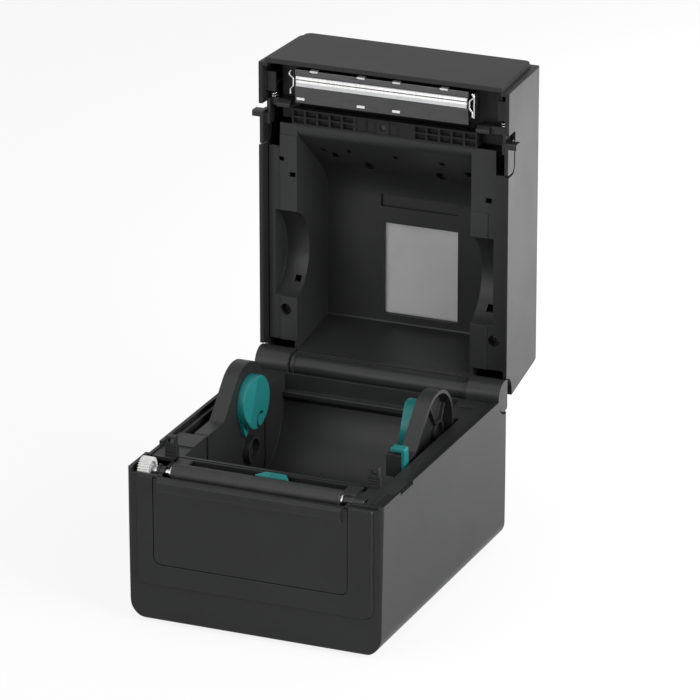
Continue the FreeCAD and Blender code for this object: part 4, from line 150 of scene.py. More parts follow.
class Shader:
    """One material and the short words that its finish is written in."""

    EDGE_START = 0.02
    EDGE_FULL = 0.26

    def __init__(self, name: str) -> None:
        """Start a material with a bare Principled surface.

        Args:
            name: The material's name.
        """
        self.material = bpy.data.materials.new(name)
        self.material.use_nodes = True
        self.tree = self.material.node_tree
        self.surface = self.tree.nodes["Principled BSDF"]
        self.output = self.tree.nodes["Material Output"]

    def node(
        self,
        kind: str,
        settings: dict[str, Any] | None = None,
        sockets: dict[Any, Any] | None = None,
        out: Any = 0,
    ) -> Signal:
        """Any node of the tree.

        Args:
            kind: The node's type.
            settings: Properties that are set first.
            sockets: Values or signals by input name or number.
            out: The output to return, by name or number.

        Returns:
            The chosen output.
        """
        made = self.tree.nodes.new(kind)
        for key, value in (settings or {}).items():
            setattr(made, key, value)
        for key, value in (sockets or {}).items():
            self.join(made.inputs[key], value)
        return Signal(self.tree, made.outputs[out])

    def join(self, socket: bpy.types.NodeSocket, value: Any) -> None:
        """Link a signal to an input, or set a plain value on it.

        Args:
            socket: The input.
            value: A signal, or a value that the input takes.
        """
        if isinstance(value, Signal):
            self.tree.links.new(value.socket, socket)
        else:
            socket.default_value = value

    def feed(self, **sockets: Any) -> None:
        """Set or link the surface's own inputs; underscores stand for spaces."""
        for key, value in sockets.items():
            self.join(self.surface.inputs[key.replace("_", " ")], value)

    def place(self, stretch: Point = (1.0, 1.0, 1.0)) -> Signal:
        """Object coordinates in metres, stretched along each axis."""
        spot = self.node("ShaderNodeTexCoord", out="Object")
        return self.node("ShaderNodeVectorMath", {"operation": "MULTIPLY"}, {0: spot, 1: stretch})

    def along(self, axis: Axis) -> Signal:
        """One object coordinate in metres."""
        spot = self.node("ShaderNodeTexCoord", out="Object")
        return self.node("ShaderNodeSeparateXYZ", None, {0: spot}, out=axis.value)

    def noise(self, grain: float, detail: float = 2.0, stretch: Point = (1.0, 1.0, 1.0)) -> Signal:
        """Soft noise between about 0.25 and 0.75.

        Args:
            grain: Size of a blotch in metres.
            detail: Octaves of finer noise.
            stretch: Scale of each axis; a small number draws the blotches out.

        Returns:
            The noise value.
        """
        sockets = {"Vector": self.place(stretch), "Scale": 1.0 / grain, "Detail": detail}
        return self.node("ShaderNodeTexNoise", None, sockets)

    def cells(self, grain: float, feature: str = "F1") -> Signal:
        """Distance in a pattern of cells of a given size in metres."""
        sockets = {"Vector": self.place(), "Scale": 1.0 / grain}
        return self.node("ShaderNodeTexVoronoi", {"feature": feature}, sockets, out="Distance")

    def step(self, value: Signal, low: float, high: float) -> Signal:
        """Nought below low, one above high and a smooth rise between them."""
        sockets = {"Value": value, "From Min": low, "From Max": high}
        return self.node("ShaderNodeMapRange", {"interpolation_type": "SMOOTHSTEP"}, sockets)

    def mix(self, factor: Any, first: Any, second: Any) -> Signal:
        """Blend of two colours.

        Args:
            factor: Share of the second colour, as a signal or a number.
            first: A signal or a plain colour.
            second: A signal or a plain colour.

        Returns:
            The blended colour.
        """
        colours = [(*c, 1.0) if isinstance(c, tuple) else c for c in (first, second)]
        settings = {"data_type": "RGBA", "clamp_factor": True}
        return self.node("ShaderNodeMix", settings, {0: factor, 6: colours[0], 7: colours[1]}, out=2)

    def soft_edges(self, radius: float) -> tuple[Signal, Signal]:
        """Normals rounded over sharp edges, and a mask of those edges.

        The mask is one less the dot product of the rounded and the true normal,
        scaled so that it nears one on the edge line.

        Args:
            radius: Radius of the rounding in metres.

        Returns:
            The rounded normal and the edge mask.
        """
        rounded = self.node("ShaderNodeBevel", {"samples": 4}, {"Radius": radius})
        true = self.node("ShaderNodeNewGeometry", out="Normal")
        sockets = {0: rounded, 1: true}
        match = self.node("ShaderNodeVectorMath", {"operation": "DOT_PRODUCT"}, sockets, out="Value")
        return rounded, self.step(1.0 - match, self.EDGE_START, self.EDGE_FULL)

    def bump(self, height: Signal, depth: float, normal: Signal | None = None) -> Signal:
        """Normal from a height signal.

        Args:
            height: The height, from nought to one.
            depth: What a height of one is in metres.
            normal: A normal to start from, or None for the surface's own.

        Returns:
            The bumped normal.
        """
        sockets: dict[Any, Any] = {"Height": height, "Distance": depth, "Strength": 1.0}
        if normal is not None:
            sockets["Normal"] = normal
        return self.node("ShaderNodeBump", None, sockets)


def tone(colour: Colour, factor: float) -> Colour:
    """A colour made lighter or darker by a factor."""
    return tuple(min(1.0, c * factor) for c in colour)


@dataclass(frozen=True)
class Finish:
    """What every finish has: a name, a colour and a roughness."""

    name: str
    colour: Colour
    roughness: float

    def paint(self, shader: Shader) -> None:
        """Fill in the shader.

        Args:
            shader: The shader of the finish's material.
        """
        raise NotImplementedError

    def material(self) -> bpy.types.Material:
        """Make the material.

        Returns:
            The finished material.
        """
        shader = Shader(self.name)
        self.paint(shader)
        return shader.material


@dataclass(frozen=True)
class MouldedPlastic(Finish):
    """Moulded plastic with a fine eroded grain, faint flow clouds and lighter edges, partly rubbed wear and
    partly painted highlight.
    """

    grain: float = 0.7 * MM
    depth: float = 0.02 * MM
    mottle: float = 0.10
    edge: float = 0.45 * MM
    # How much lighter the edges are painted: rubbed wear and a painted edge highlight.
    rub_and_highlight: float = 1.5
    gloss: float = 0.5
    cloud: float = 48 * MM
    speck: float = 1.25

    def paint(self, shader: Shader) -> None:
        """Clouds and grain vary the colour and the roughness; edges are rounded and painted lighter, as
        rubbed wear and painted highlight.

        Args:
            shader: The shader of the finish's material.
        """
        cloud = shader.noise(self.cloud, 3.0)
        grain = shader.noise(self.grain, 2.0)
        rounded, edge = shader.soft_edges(self.edge)
        dark, light = tone(self.colour, 1 - self.mottle), tone(self.colour, 1 + self.mottle)
        body = shader.mix(shader.step(cloud, 0.3, 0.7), dark, light)
        speck = shader.step(grain, 0.52, 0.72)
        grained = shader.mix(speck * 0.5, body, tone(self.colour, self.speck))
        # Edges painted lighter: partly rubbed wear, partly a painted edge highlight.
        worn_and_highlit = shader.mix(edge * 0.6, grained, tone(self.colour, self.rub_and_highlight))
        rough = (cloud - 0.5) * 0.12 + (grain - 0.5) * 0.10 + self.roughness
        shader.feed(
            Base_Color=worn_and_highlit,
            Roughness=rough - edge * 0.06,
            Normal=shader.bump(grain, self.depth, rounded),
            Specular_IOR_Level=self.gloss,
        )


@dataclass(frozen=True)
class DrawnMetal(Finish):
    """Metal with the fine lines of drawing, grinding or brushing along one axis."""

    axis: Axis = Axis.X
    line: float = 0.25 * MM
    depth: float = 0.004 * MM
    stain: float = 9 * MM
    edge: float = 0.25 * MM

    def paint(self, shader: Shader) -> None:
        """Noise stretched along the axis gives lines in the colour, the roughness and the normal.

        Args:
            shader: The shader of the finish's material.
        """
        stretch = tuple(0.02 if part is self.axis else 1.0 for part in Axis)
        lines = shader.noise(self.line, 3.0, stretch)
        stain = shader.noise(self.stain, 3.0)
        rounded, edge = shader.soft_edges(self.edge)
        body = shader.mix(shader.step(lines, 0.3, 0.7), tone(self.colour, 0.86), tone(self.colour, 1.08))
        dulled = shader.mix(shader.step(stain, 0.5, 0.8) * 0.35, body, tone(self.colour, 0.7))
        rough = (lines - 0.5) * 0.25 + (stain - 0.5) * 0.2 + self.roughness
        shader.feed(
            # Edges painted lighter: partly worn metal, partly a painted edge highlight.
            Base_Color=shader.mix(edge * 0.5, dulled, tone(self.colour, 1.3)),
            Roughness=rough,
            Normal=shader.bump(lines, self.depth, rounded),
            Metallic=1.0,
        )


@dataclass(frozen=True)
class GroundRubber(Finish):
    """Rubber ground round its axis, with fine rings, a dusty bloom and soft edges."""

    ring: float = 0.35 * MM
    depth: float = 0.01 * MM
    bloom: float = 14 * MM
    edge: float = 0.5 * MM
    gloss: float = 0.35

    def paint(self, shader: Shader) -> None:
        """Rings come from noise that varies along X only; bloom is a broad pale cloud.

        Args:
            shader: The shader of the finish's material.
        """
        rings = shader.noise(self.ring, 2.0, (1.0, 0.03, 0.03))
        bloom = shader.noise(self.bloom, 4.0)
        rounded, edge = shader.soft_edges(self.edge)
        body = shader.mix(shader.step(rings, 0.3, 0.7), tone(self.colour, 0.85), tone(self.colour, 1.15))
        dusty = shader.mix(shader.step(bloom, 0.45, 0.75) * 0.4, body, tone(self.colour, 1.9))
        rough = (rings - 0.5) * 0.12 + (bloom - 0.5) * 0.15 + self.roughness
        shader.feed(
            # Edges painted lighter: partly rubbed wear, partly a painted edge highlight.
            Base_Color=shader.mix(edge * 0.5, dusty, tone(self.colour, 1.6)),
            Roughness=rough,
            Normal=shader.bump(rings, self.depth, rounded),
            Specular_IOR_Level=self.gloss,
        )


@dataclass(frozen=True)
class GlazedStrip(Finish):
    """Glazed ceramic of the print head: a dark line of heaters between pale bands of leads."""

    bead: float = 0.0
    bead_half: float = 0.34 * MM
    lead_half: float = 1.9 * MM
    lead: float = 0.4 * MM
    cloud: float = 6 * MM
    rise: float = 0.05 * MM
    heater_colour: Colour = (0.035, 0.032, 0.03)
    lead_colours: tuple[Colour, Colour] = ((0.88, 0.88, 0.87), (0.74, 0.74, 0.73))

    def paint(self, shader: Shader) -> None:
        """Distance in Z from the heater line picks bead, leads or plain glaze.

        Args:
            shader: The shader of the finish's material.
        """
        away = abs(shader.along(Axis.Z) - self.bead)
        leads = shader.noise(self.lead, 1.0, (1.0, 0.02, 0.02))
        cloud = shader.noise(self.cloud, 3.0)
        glaze = shader.mix(shader.step(cloud, 0.3, 0.7), tone(self.colour, 0.93), self.colour)
        combed = shader.mix(shader.step(leads, 0.45, 0.55), *self.lead_colours)
        banded = shader.mix(away < self.lead_half, glaze, combed)
        shader.feed(
            Base_Color=shader.mix(away < self.bead_half, banded, self.heater_colour),
            Roughness=(cloud - 0.5) * 0.2 + self.roughness,
            Normal=shader.bump(shader.step(away, 0.0, self.bead_half) * -1.0, self.rise),
            Coat_Weight=0.6,
            Coat_Roughness=0.08,
        )


@dataclass(frozen=True)
class FrostedPane(Finish):
    """Smoked clear plastic, frosted on its inner face."""

    frost: float = 0.5 * MM
    depth: float = 0.02 * MM
    cloud: float = 30 * MM
    edge: float = 0.4 * MM

    def paint(self, shader: Shader) -> None:
        """A fine frost in the roughness and the normal, with a faint cloud in the colour.

        Args:
            shader: The shader of the finish's material.
        """
        frost = shader.noise(self.frost, 3.0)
        cloud = shader.noise(self.cloud, 3.0)
        rounded, edge = shader.soft_edges(self.edge)
        body = shader.mix(shader.step(cloud, 0.3, 0.7), tone(self.colour, 0.94), tone(self.colour, 1.05))
        shader.feed(
            # Painted highlight: the pane's edges are painted lighter.
            Base_Color=shader.mix(edge * 0.5, body, tone(self.colour, 1.3)),
            Roughness=(frost - 0.5) * 0.2 + self.roughness,
            Normal=shader.bump(frost, self.depth, rounded),
            Transmission_Weight=0.35,
            IOR=1.45,
        )


@dataclass(frozen=True)
class CircuitBoard(Finish):
    """Solder mask with copper tracks and tinned pads."""

    cell: float = 5 * MM
    weave: float = 1.2 * MM
    rise: float = 0.03 * MM
    tin_colour: Colour = (0.6, 0.6, 0.58)

    def paint(self, shader: Shader) -> None:
        """Tracks are the edges of a cell pattern; pads are spots at the cells' middles.

        Args:
            shader: The shader of the finish's material.
        """
        tracks = shader.cells(self.cell, "DISTANCE_TO_EDGE") < 0.05
        pads = shader.cells(self.cell) < 0.12
        weave = shader.noise(self.weave, 2.0)
        mask = shader.mix(shader.step(weave, 0.3, 0.7), tone(self.colour, 0.85), tone(self.colour, 1.1))
        tracked = shader.mix(tracks * 0.6, mask, tone(self.colour, 1.9))
        shader.feed(
            Base_Color=shader.mix(pads, tracked, self.tin_colour),
            Roughness=(weave - 0.5) * 0.2 + self.roughness,
            Metallic=pads * 0.9,
            Normal=shader.bump(tracks * 0.6 + pads, self.rise),
        )


@dataclass(frozen=True)
class MotorCase(Finish):
    """Stepper motor: plated end bells and a dark stack of laminations between them."""

    start: float = 0.0
    end: float = 1.0
    sheet: float = 0.5 * MM
    stain: float = 7 * MM
    depth: float = 0.02 * MM
    edge: float = 0.3 * MM
    stack_colours: tuple[Colour, Colour] = ((0.03, 0.03, 0.032), (0.06, 0.06, 0.062))

    def paint(self, shader: Shader) -> None:
        """X between start and end is the stack, lined every half millimetre.

        Args:
            shader: The shader of the finish's material.
        """
        spot = shader.along(Axis.X)
        stack = (spot > self.start) * (spot < self.end)
        sheets = shader.noise(self.sheet, 1.0, (1.0, 0.02, 0.02))
        stain = shader.noise(self.stain, 3.0)
        rounded, _ = shader.soft_edges(self.edge)
        plated = shader.mix(shader.step(stain, 0.3, 0.7), tone(self.colour, 0.85), tone(self.colour, 1.1))
        dark = shader.mix(shader.step(sheets, 0.4, 0.6), *self.stack_colours)
        shader.feed(
            Base_Color=shader.mix(stack, plated, dark),
            Roughness=(stain - 0.5) * 0.2 + self.roughness,
            Metallic=1.0 - stack * 0.6,
            Normal=shader.bump(sheets * stack, self.depth, rounded),
        )


class Finishes:
    """The printer's finishes, made once each and shared by its pieces."""

    CASE = MouldedPlastic("case_plastic", (0.0122, 0.0128, 0.0126), 0.36, gloss=0.24, rub_and_highlight=2.2, edge=0.7 * MM)
    INNER = MouldedPlastic("inner_plastic", (0.0195, 0.0204, 0.02), 0.40, grain=0.9 * MM, rub_and_highlight=1.8, gloss=0.27)
    # Painted shade: a darker copy of the inner plastic, for the head carrier in the lid's dark recess.
    SHADE_DARKENED = MouldedPlastic(
        "shade_darkened_black_plastic", (0.0095, 0.0099, 0.0097), 0.44, grain=0.9 * MM, rub_and_highlight=1.8, gloss=0.18
    )
    BLACK = MouldedPlastic("black_plastic", (0.0105, 0.0108, 0.011), 0.36, grain=1.1 * MM, gloss=0.35)
    GLOSS = MouldedPlastic("gloss_black_plastic", (0.008, 0.008, 0.0085), 0.18, depth=0.004 * MM)
    TEAL = MouldedPlastic(
        "teal_plastic", (0.0145, 0.168, 0.168), 0.36, mottle=0.05, rub_and_highlight=1.35, edge=0.6 * MM, gloss=0.3
    )
    WHITE = MouldedPlastic("white_acetal", (0.66, 0.66, 0.645), 0.38, mottle=0.03, rub_and_highlight=1.05, edge=0.2 * MM)
    FOOT = MouldedPlastic(
        "foot_rubber", (0.018, 0.018, 0.0185), 0.78, grain=1.4 * MM, depth=0.05 * MM, gloss=0.3
    )
    PLATEN = GroundRubber("platen_rubber", (0.0185, 0.0188, 0.0192), 0.5)
    ZINC = DrawnMetal("zinc_steel", (0.52, 0.53, 0.55), 0.34, Axis.Z)
    DARK_SCREW = DrawnMetal("dark_screw_steel", (0.055, 0.055, 0.057), 0.38, Axis.Z)
    SHAFT = DrawnMetal("ground_steel", (0.5, 0.5, 0.52), 0.28, Axis.X)
    SPRING = DrawnMetal("spring_steel", (0.62, 0.62, 0.63), 0.22, Axis.Z)
    BRASS = DrawnMetal("brass", (0.66, 0.46, 0.17), 0.28, Axis.X)
    GILT = DrawnMetal("gilt_contact", (0.72, 0.52, 0.2), 0.22, Axis.Y)
    ALUMINIUM = DrawnMetal("head_aluminium", (0.4, 0.41, 0.425), 0.36, Axis.X)
    HEAD_PLATE = DrawnMetal("head_plate_steel", (0.088, 0.088, 0.09), 0.32, Axis.X, depth=0.001 * MM)
    PANE = FrostedPane("smoke_pane", (0.5, 0.5, 0.505), 0.5)
    BOARD = CircuitBoard("circuit_board", (0.012, 0.075, 0.035), 0.34)
    LIGHT = MouldedPlastic("light_pipe", (0.18, 0.42, 0.26), 0.2, depth=0.004 * MM, mottle=0.04)

    made: dict[str, bpy.types.Material] = {}

    @classmethod
    def material(cls, finish: Finish) -> bpy.types.Material:
        """The one material of a finish, made when it is first asked for.

        Args:
            finish: The finish.

        Returns:
            Its material.
        """
        if finish.name not in cls.made:
            cls.made[finish.name] = finish.material()
        return cls.made[finish.name]


class Patchwork:
    """Grids of points that are gathered into one closed mesh."""

    MERGE = 0.0005 * MM

    def __init__(self) -> None:
        """Start with no points and no faces."""
        self.points: list[np.ndarray] = []
        self.faces: list[np.ndarray] = []
        self.count = 0

    def add(self, grid: np.ndarray) -> None:
        """Add the quads between a grid's neighbouring points; each row's last point joins its first.

        Args:
            grid: Points in metres, as rows by columns by three.
        """
        rows, columns = grid.shape[:2]
        index = self.count + np.arange(rows * columns).reshape(rows, columns)
        index = np.hstack([index, index[:, :1]])
        corners = (index[:-1, :-1], index[:-1, 1:], index[1:, 1:], index[1:, :-1])
        self.faces.append(np.stack(corners, axis=-1).reshape(-1, 4))
        self.points.append(grid.reshape(-1, 3))
        self.count += rows * columns

    def piece(self, name: str, crease: float = 32.0) -> bpy.types.Object:
        """One object from all grids, with poles and seams merged and faces turned outwards.

        Args:
            name: The piece's name.
            crease: Angle in degrees above which an edge stays sharp.

        Returns:
            The linked object, at the origin.
        """
        mesh = bpy.data.meshes.new(name)
        mesh.from_pydata(np.vstack(self.points).tolist(), [], np.vstack(self.faces).tolist())
        work = bmesh.new()
        work.from_mesh(mesh)
        bmesh.ops.remove_doubles(work, verts=work.verts, dist=self.MERGE)
        bmesh.ops.recalc_face_normals(work, faces=work.faces)
        work.to_mesh(mesh)
        work.free()
        mesh.shade_smooth()
        mesh.set_sharp_from_angle(angle=math.radians(crease))
        made = bpy.data.objects.new(name, mesh)
        bpy.context.scene.collection.objects.link(made)
        return made


def ease(value: np.ndarray) -> np.ndarray:
    """Smooth rise from nought to one, three times the square less twice the cube of a clipped value."""
    clipped = np.clip(value, 0.0, 1.0)
    return clipped * clipped * (3.0 - 2.0 * clipped)


def turned(radius: np.ndarray, place: np.ndarray, middle: Point, axis: Axis, turn: np.ndarray) -> np.ndarray:
    """Surface of a profile carried round an axis.

    A point lies at its place along the axis and, across it, at the middle plus its radius times the
    cosine and the sine of the turn.

    Args:
        radius: Radii, as rows by columns or rows by one.
        place: Places along the axis, of a shape that fits the radii.
        middle: A point on the axis; its part along the axis isn't used.
        axis: The axis.
        turn: Angles of the columns.

    Returns:
        Points as rows by columns by three.
    """
    radius, place, turn = np.broadcast_arrays(radius, place, turn)
    second, third = Axis((axis.value + 1) % 3), Axis((axis.value + 2) % 3)
    points = np.empty((*radius.shape, 3))
    points[..., axis.value] = place
    points[..., second.value] = middle[second.value] + radius * np.cos(turn)
    points[..., third.value] = middle[third.value] + radius * np.sin(turn)
    return points


def solid_boxes(node: str, axis: Axis, reach: float) -> list[tuple[np.ndarray, np.ndarray]]:
    """Boxes of a node's separate solids, told apart by their places across an axis.

    Args:
        node: The node's name.
        axis: The axis that every solid lies along.
        reach: Distance in metres that is wider than one solid and less than the space between two.

    Returns:
        The lowest and the highest corner of each solid.
    """
    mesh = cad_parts[node].data
    flat = np.empty(3 * len(mesh.vertices))
    mesh.vertices.foreach_get("co", flat)
    rest = flat.reshape(-1, 3)
    across = [part.value for part in Axis if part is not axis]
    boxes = []
    while len(rest):
        near = np.linalg.norm(rest[:, across] - rest[0, across], axis=1) < reach
        boxes.append((rest[near].min(axis=0), rest[near].max(axis=0)))
        rest = rest[~near]
    return boxes


@dataclass(frozen=True)
class CrossScrew:
    """Pan-head screw with a cross recess and a rolled thread, its head at the low end of its axis."""

    head_height: float = 1.6 * MM
    shank_radius: float = 1.5 * MM
    crown: float = 0.45 * MM
    recess_reach: float = 1.75 * MM
    recess_half: float = 0.42 * MM
    recess_depth: float = 1.0 * MM
    pitch: float = 1.1 * MM
    thread: float = 0.3 * MM
    point: float = 2.4 * MM
    bar_soft: float = 0.5
    recess_soft: float = 0.3
    shoulder_share: float = 0.7
    apart: float = 12 * MM
    around: int = 72
    head_rows: int = 26
    thread_rows: int = 84
    point_rows: int = 8

    def grid(self, low: np.ndarray, high: np.ndarray, axis: Axis) -> np.ndarray:
        """The screw's surface inside a box.

        On the head the place is a dome that falls with the square of the radius, less the cross: each
        of two bars has a depth that eases out with the distance from its middle line, and the deeper
        one counts inside the recess's reach. On the shank the radius falls from its full size by the
        thread's depth times the triangle wave of the place over the pitch, less the share of a turn.
        The point is a cone, and both ends close at radius nought.

        Args:
            low: Lowest corner of the box.
            high: Highest corner of the box.
            axis: The screw's axis; the head is at its low end.

        Returns:
            Points as rows by columns by three.
        """
        turn = np.linspace(0.0, 2.0 * math.pi, self.around, endpoint=False)[None, :]
        length = high[axis.value] - low[axis.value]
        head = (high - low)[(axis.value + 1) % 3] / 2
        top = np.linspace(0.0, 1.0, self.head_rows)[:, None]
        soft = self.bar_soft * self.recess_half
        bars = np.maximum(*[
            ease((self.recess_half - head * top * abs(wave(turn))) / soft) for wave in (np.cos, np.sin)
        ])
        inside = ease((self.recess_reach - head * top) / (self.recess_soft * self.recess_reach))
        dome = self.crown * top**2 + self.recess_depth * bars * inside
        side = np.array([[head], [head], [self.shank_radius]])
        side_place = self.head_height * np.array([[self.shoulder_share], [1.0], [1.0]])
        along = np.linspace(self.head_height, length - self.point, self.thread_rows)[:, None]
        share = along / self.pitch - turn / (2.0 * math.pi)
        groove = abs(2.0 * (share - np.floor(share)) - 1.0)
        fade = ease((along - self.head_height) / self.pitch)
        shank = self.shank_radius - self.thread * groove * fade
        taper = np.linspace(1.0, 0.0, self.point_rows)[1:, None]
        radii = (head * top, side, shank, self.shank_radius * taper)
        places = (dome, side_place, along, length - self.point * taper)
        radius, place = (
            np.vstack([np.broadcast_to(part, (len(part), self.around)) for part in parts])
            for parts in (radii, places)
        )
        return turned(radius, low[axis.value] + place, tuple((low + high) / 2), axis, turn)

    def set_of(self, name: str, node: str, axis: Axis) -> bpy.types.Object:
        """All screws of a node, as one piece.

        Args:
            name: The piece's name.
            node: The node whose plain screws give the places.
            axis: The screws' axis.

        Returns:
            The piece.
        """
        patches = Patchwork()
        for low, high in solid_boxes(node, axis, self.apart):
            patches.add(self.grid(low, high, axis))
        return patches.piece(name)


@dataclass(frozen=True)
class WireCoil:
    """Upright compression spring whose end turns close up."""

    wire: float = 0.4 * MM
    turns: float = 5.0
    closed: float = 0.8
    rows: int = 220
    around: int = 14

    def grid(self, low: np.ndarray, high: np.ndarray) -> np.ndarray:
        """A round wire carried along a helix inside a box.

        The helix turns evenly, and its height follows the share of the turn less the closing times the
        sine of a full turn over a full turn, so that the first and last turns lie flat. Round each
        point, the wire goes as the cosine along the radius and the sine along the cross product of the
        helix's direction and the radius; it shrinks to nought at both ends.

        Args:
            low: Lowest corner of the box.
            high: Highest corner of the box.

        Returns:
            Points as rows by columns by three.
        """
        share = np.linspace(0.0, 1.0, self.rows)[:, None]
        angle = 2.0 * math.pi * self.turns * share
        middle, radius = (low + high) / 2, (high[0] - low[0]) / 2 - self.wire
        eased = share - self.closed * np.sin(2.0 * math.pi * share) / (2.0 * math.pi)
        height = low[2] + self.wire + (high[2] - low[2] - 2.0 * self.wire) * eased
        outward = np.concatenate([np.cos(angle), np.sin(angle), np.zeros_like(angle)], axis=1)
        line = middle + radius * outward
        line[:, 2:] = height
        heading = np.gradient(line, axis=0)
        heading /= np.linalg.norm(heading, axis=1, keepdims=True)
        upward = np.cross(heading, outward)
        thick = self.wire * np.minimum(1.0, np.minimum(share, 1.0 - share) * self.rows)
        turn = np.linspace(0.0, 2.0 * math.pi, self.around, endpoint=False)
        across, along = np.cos(turn)[None, :, None], np.sin(turn)[None, :, None]
        ring = across * outward[:, None, :] + along * upward[:, None, :]
        return line[:, None, :] + thick[:, :, None] * ring


@dataclass
class SubAssembly:
    """Pieces that are built and dressed together."""

    label: str = "sub-assembly"
    body: str = "base"
    finishes: dict[str, Finish] = field(default_factory=dict)

    def build(self) -> None:
        """Make pieces beyond the frame's nodes; a sub-assembly without any leaves this empty."""

    def carry(self, piece: bpy.types.Object, finish: Finish, slot: str, *stands_for: str) -> None:
        """Finish a new piece, let it ride on the body and hide the nodes that it stands for.

        Args:
            piece: The new piece.
            finish: Its finish.
            slot: Not used.
            stands_for: Nodes that it replaces.
        """
        piece.data.materials.append(Finishes.material(finish))
        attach(piece, self.body)
        if stands_for:
            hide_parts(*stands_for)
        LOG.info("%s: %s made in %s", self.label, piece.name, finish.name)

    def dress(self) -> None:
        """Give each node its finish."""
        for node, finish in self.finishes.items():
            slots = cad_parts[node].data.materials
            slots.clear()
            slots.append(Finishes.material(finish))
            LOG.info("%s: %s in %s", self.label, node, finish.name)


@dataclass
class Case(SubAssembly):
    """Lower case, front panel, tear-off cover and feet, with the screws under its floor."""

    label: str = "case"
    screw: CrossScrew = CrossScrew()
    finishes: dict[str, Finish] = field(default_factory=lambda: {
        "base_shell": Finishes.CASE,
        "front_panel": Finishes.CASE,
        "front_cover": Finishes.CASE,
        "rubber_feet": Finishes.FOOT,
    })

    def build(self) -> None:
        """Threaded screws in place of the plain ones."""
        piece = self.screw.set_of("floor_screws", "case_screws", Axis.Z)
        self.carry(piece, Finishes.ZINC, "zinc_steel", "case_screws")


@dataclass
class RollBay(SubAssembly):
    """Tray, hinge pins, roll holders with their hubs, and the centring drive."""

    label: str = "roll bay"
    finishes: dict[str, Finish] = field(default_factory=lambda: {
        "media_tray": Finishes.INNER,
        "hinge_pins": Finishes.ZINC,
        "left_holder": Finishes.INNER,
        "right_holder": Finishes.INNER,
        "left_hub": Finishes.TEAL,
        "right_hub": Finishes.TEAL,
        "holder_lock": Finishes.TEAL,
        "left_rack": Finishes.BLACK,
        "right_rack": Finishes.BLACK,
        "centring_pinion": Finishes.WHITE,
        "rack_plate": Finishes.ZINC,
    })


@dataclass
class PrintMechanism(SubAssembly):
    """Platen, gears, motor, paper guide and movable sensor."""

    label: str = "print mechanism"
    body: str = "platen"
    bore: float = 4.0 * MM
    shoulder: float = 0.7 * MM
    ripple: float = 0.012 * MM
    ripple_pitch: float = 0.9 * MM
    bell: float = 7.0 * MM
    bell_colour: Colour = (0.42, 0.42, 0.43)
    bell_roughness: float = 0.4
    around: int = 96
    rows: int = 420
    finishes: dict[str, Finish] = field(default_factory=lambda: {
        "mechanism_frame": Finishes.INNER,
        "platen_shaft": Finishes.SHAFT,
        "platen_bushes": Finishes.BLACK,
        "platen_gear": Finishes.WHITE,
        "idler_gear": Finishes.WHITE,
        "idler_pin": Finishes.ZINC,
        "motor_pinion": Finishes.BRASS,
        "motor_shaft": Finishes.SHAFT,
        "latch_catches": Finishes.INNER,
        "paper_guide": Finishes.INNER,
        "sensor_rail": Finishes.SHAFT,
        "sensor_carriage": Finishes.BLACK,
        "media_sensor": Finishes.TEAL,
    })

    def build(self) -> None:
        """The ground roller, and the motor's own finish from its box."""
        self.carry(self.roller(), Finishes.PLATEN, "platen_rubber", "platen_rubber")
        low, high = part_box("stepper_motor")
        self.finishes["stepper_motor"] = MotorCase(
            "motor_case", self.bell_colour, self.bell_roughness, low.x + self.bell, high.x - self.bell
        )

    def roller(self) -> bpy.types.Object:
        """Rubber sleeve, as a profile carried round the platen's axis.

        Along the sleeve the radius is full, less a ripple that goes as one less the cosine of the place
        over its pitch, and within a shoulder of each end it falls away as a quarter circle. The end
        faces run in to the bore, which closes the loop.

        Returns:
            The roller.
        """
        low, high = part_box("platen_rubber")
        full = (high.z - low.z) / 2
        place = np.linspace(low.x, high.x, self.rows)
        depth = np.clip(self.shoulder - np.minimum(place - low.x, high.x - place), 0.0, self.shoulder)
        rounding = self.shoulder - np.sqrt(self.shoulder**2 - depth**2)
        wave = 1.0 - np.cos(2.0 * math.pi * (place - low.x) / self.ripple_pitch)
        outside = full - rounding - self.ripple * wave
        radius = np.concatenate([[self.bore], outside, [self.bore, self.bore]])
        along = np.concatenate([[low.x], place, [high.x, low.x]])
        turn = np.linspace(0.0, 2.0 * math.pi, self.around, endpoint=False)
        patches = Patchwork()
        middle = tuple((low + high) / 2)
        patches.add(turned(radius[:, None], along[:, None], middle, Axis.X, turn[None, :]))
        return patches.piece("platen_sleeve")


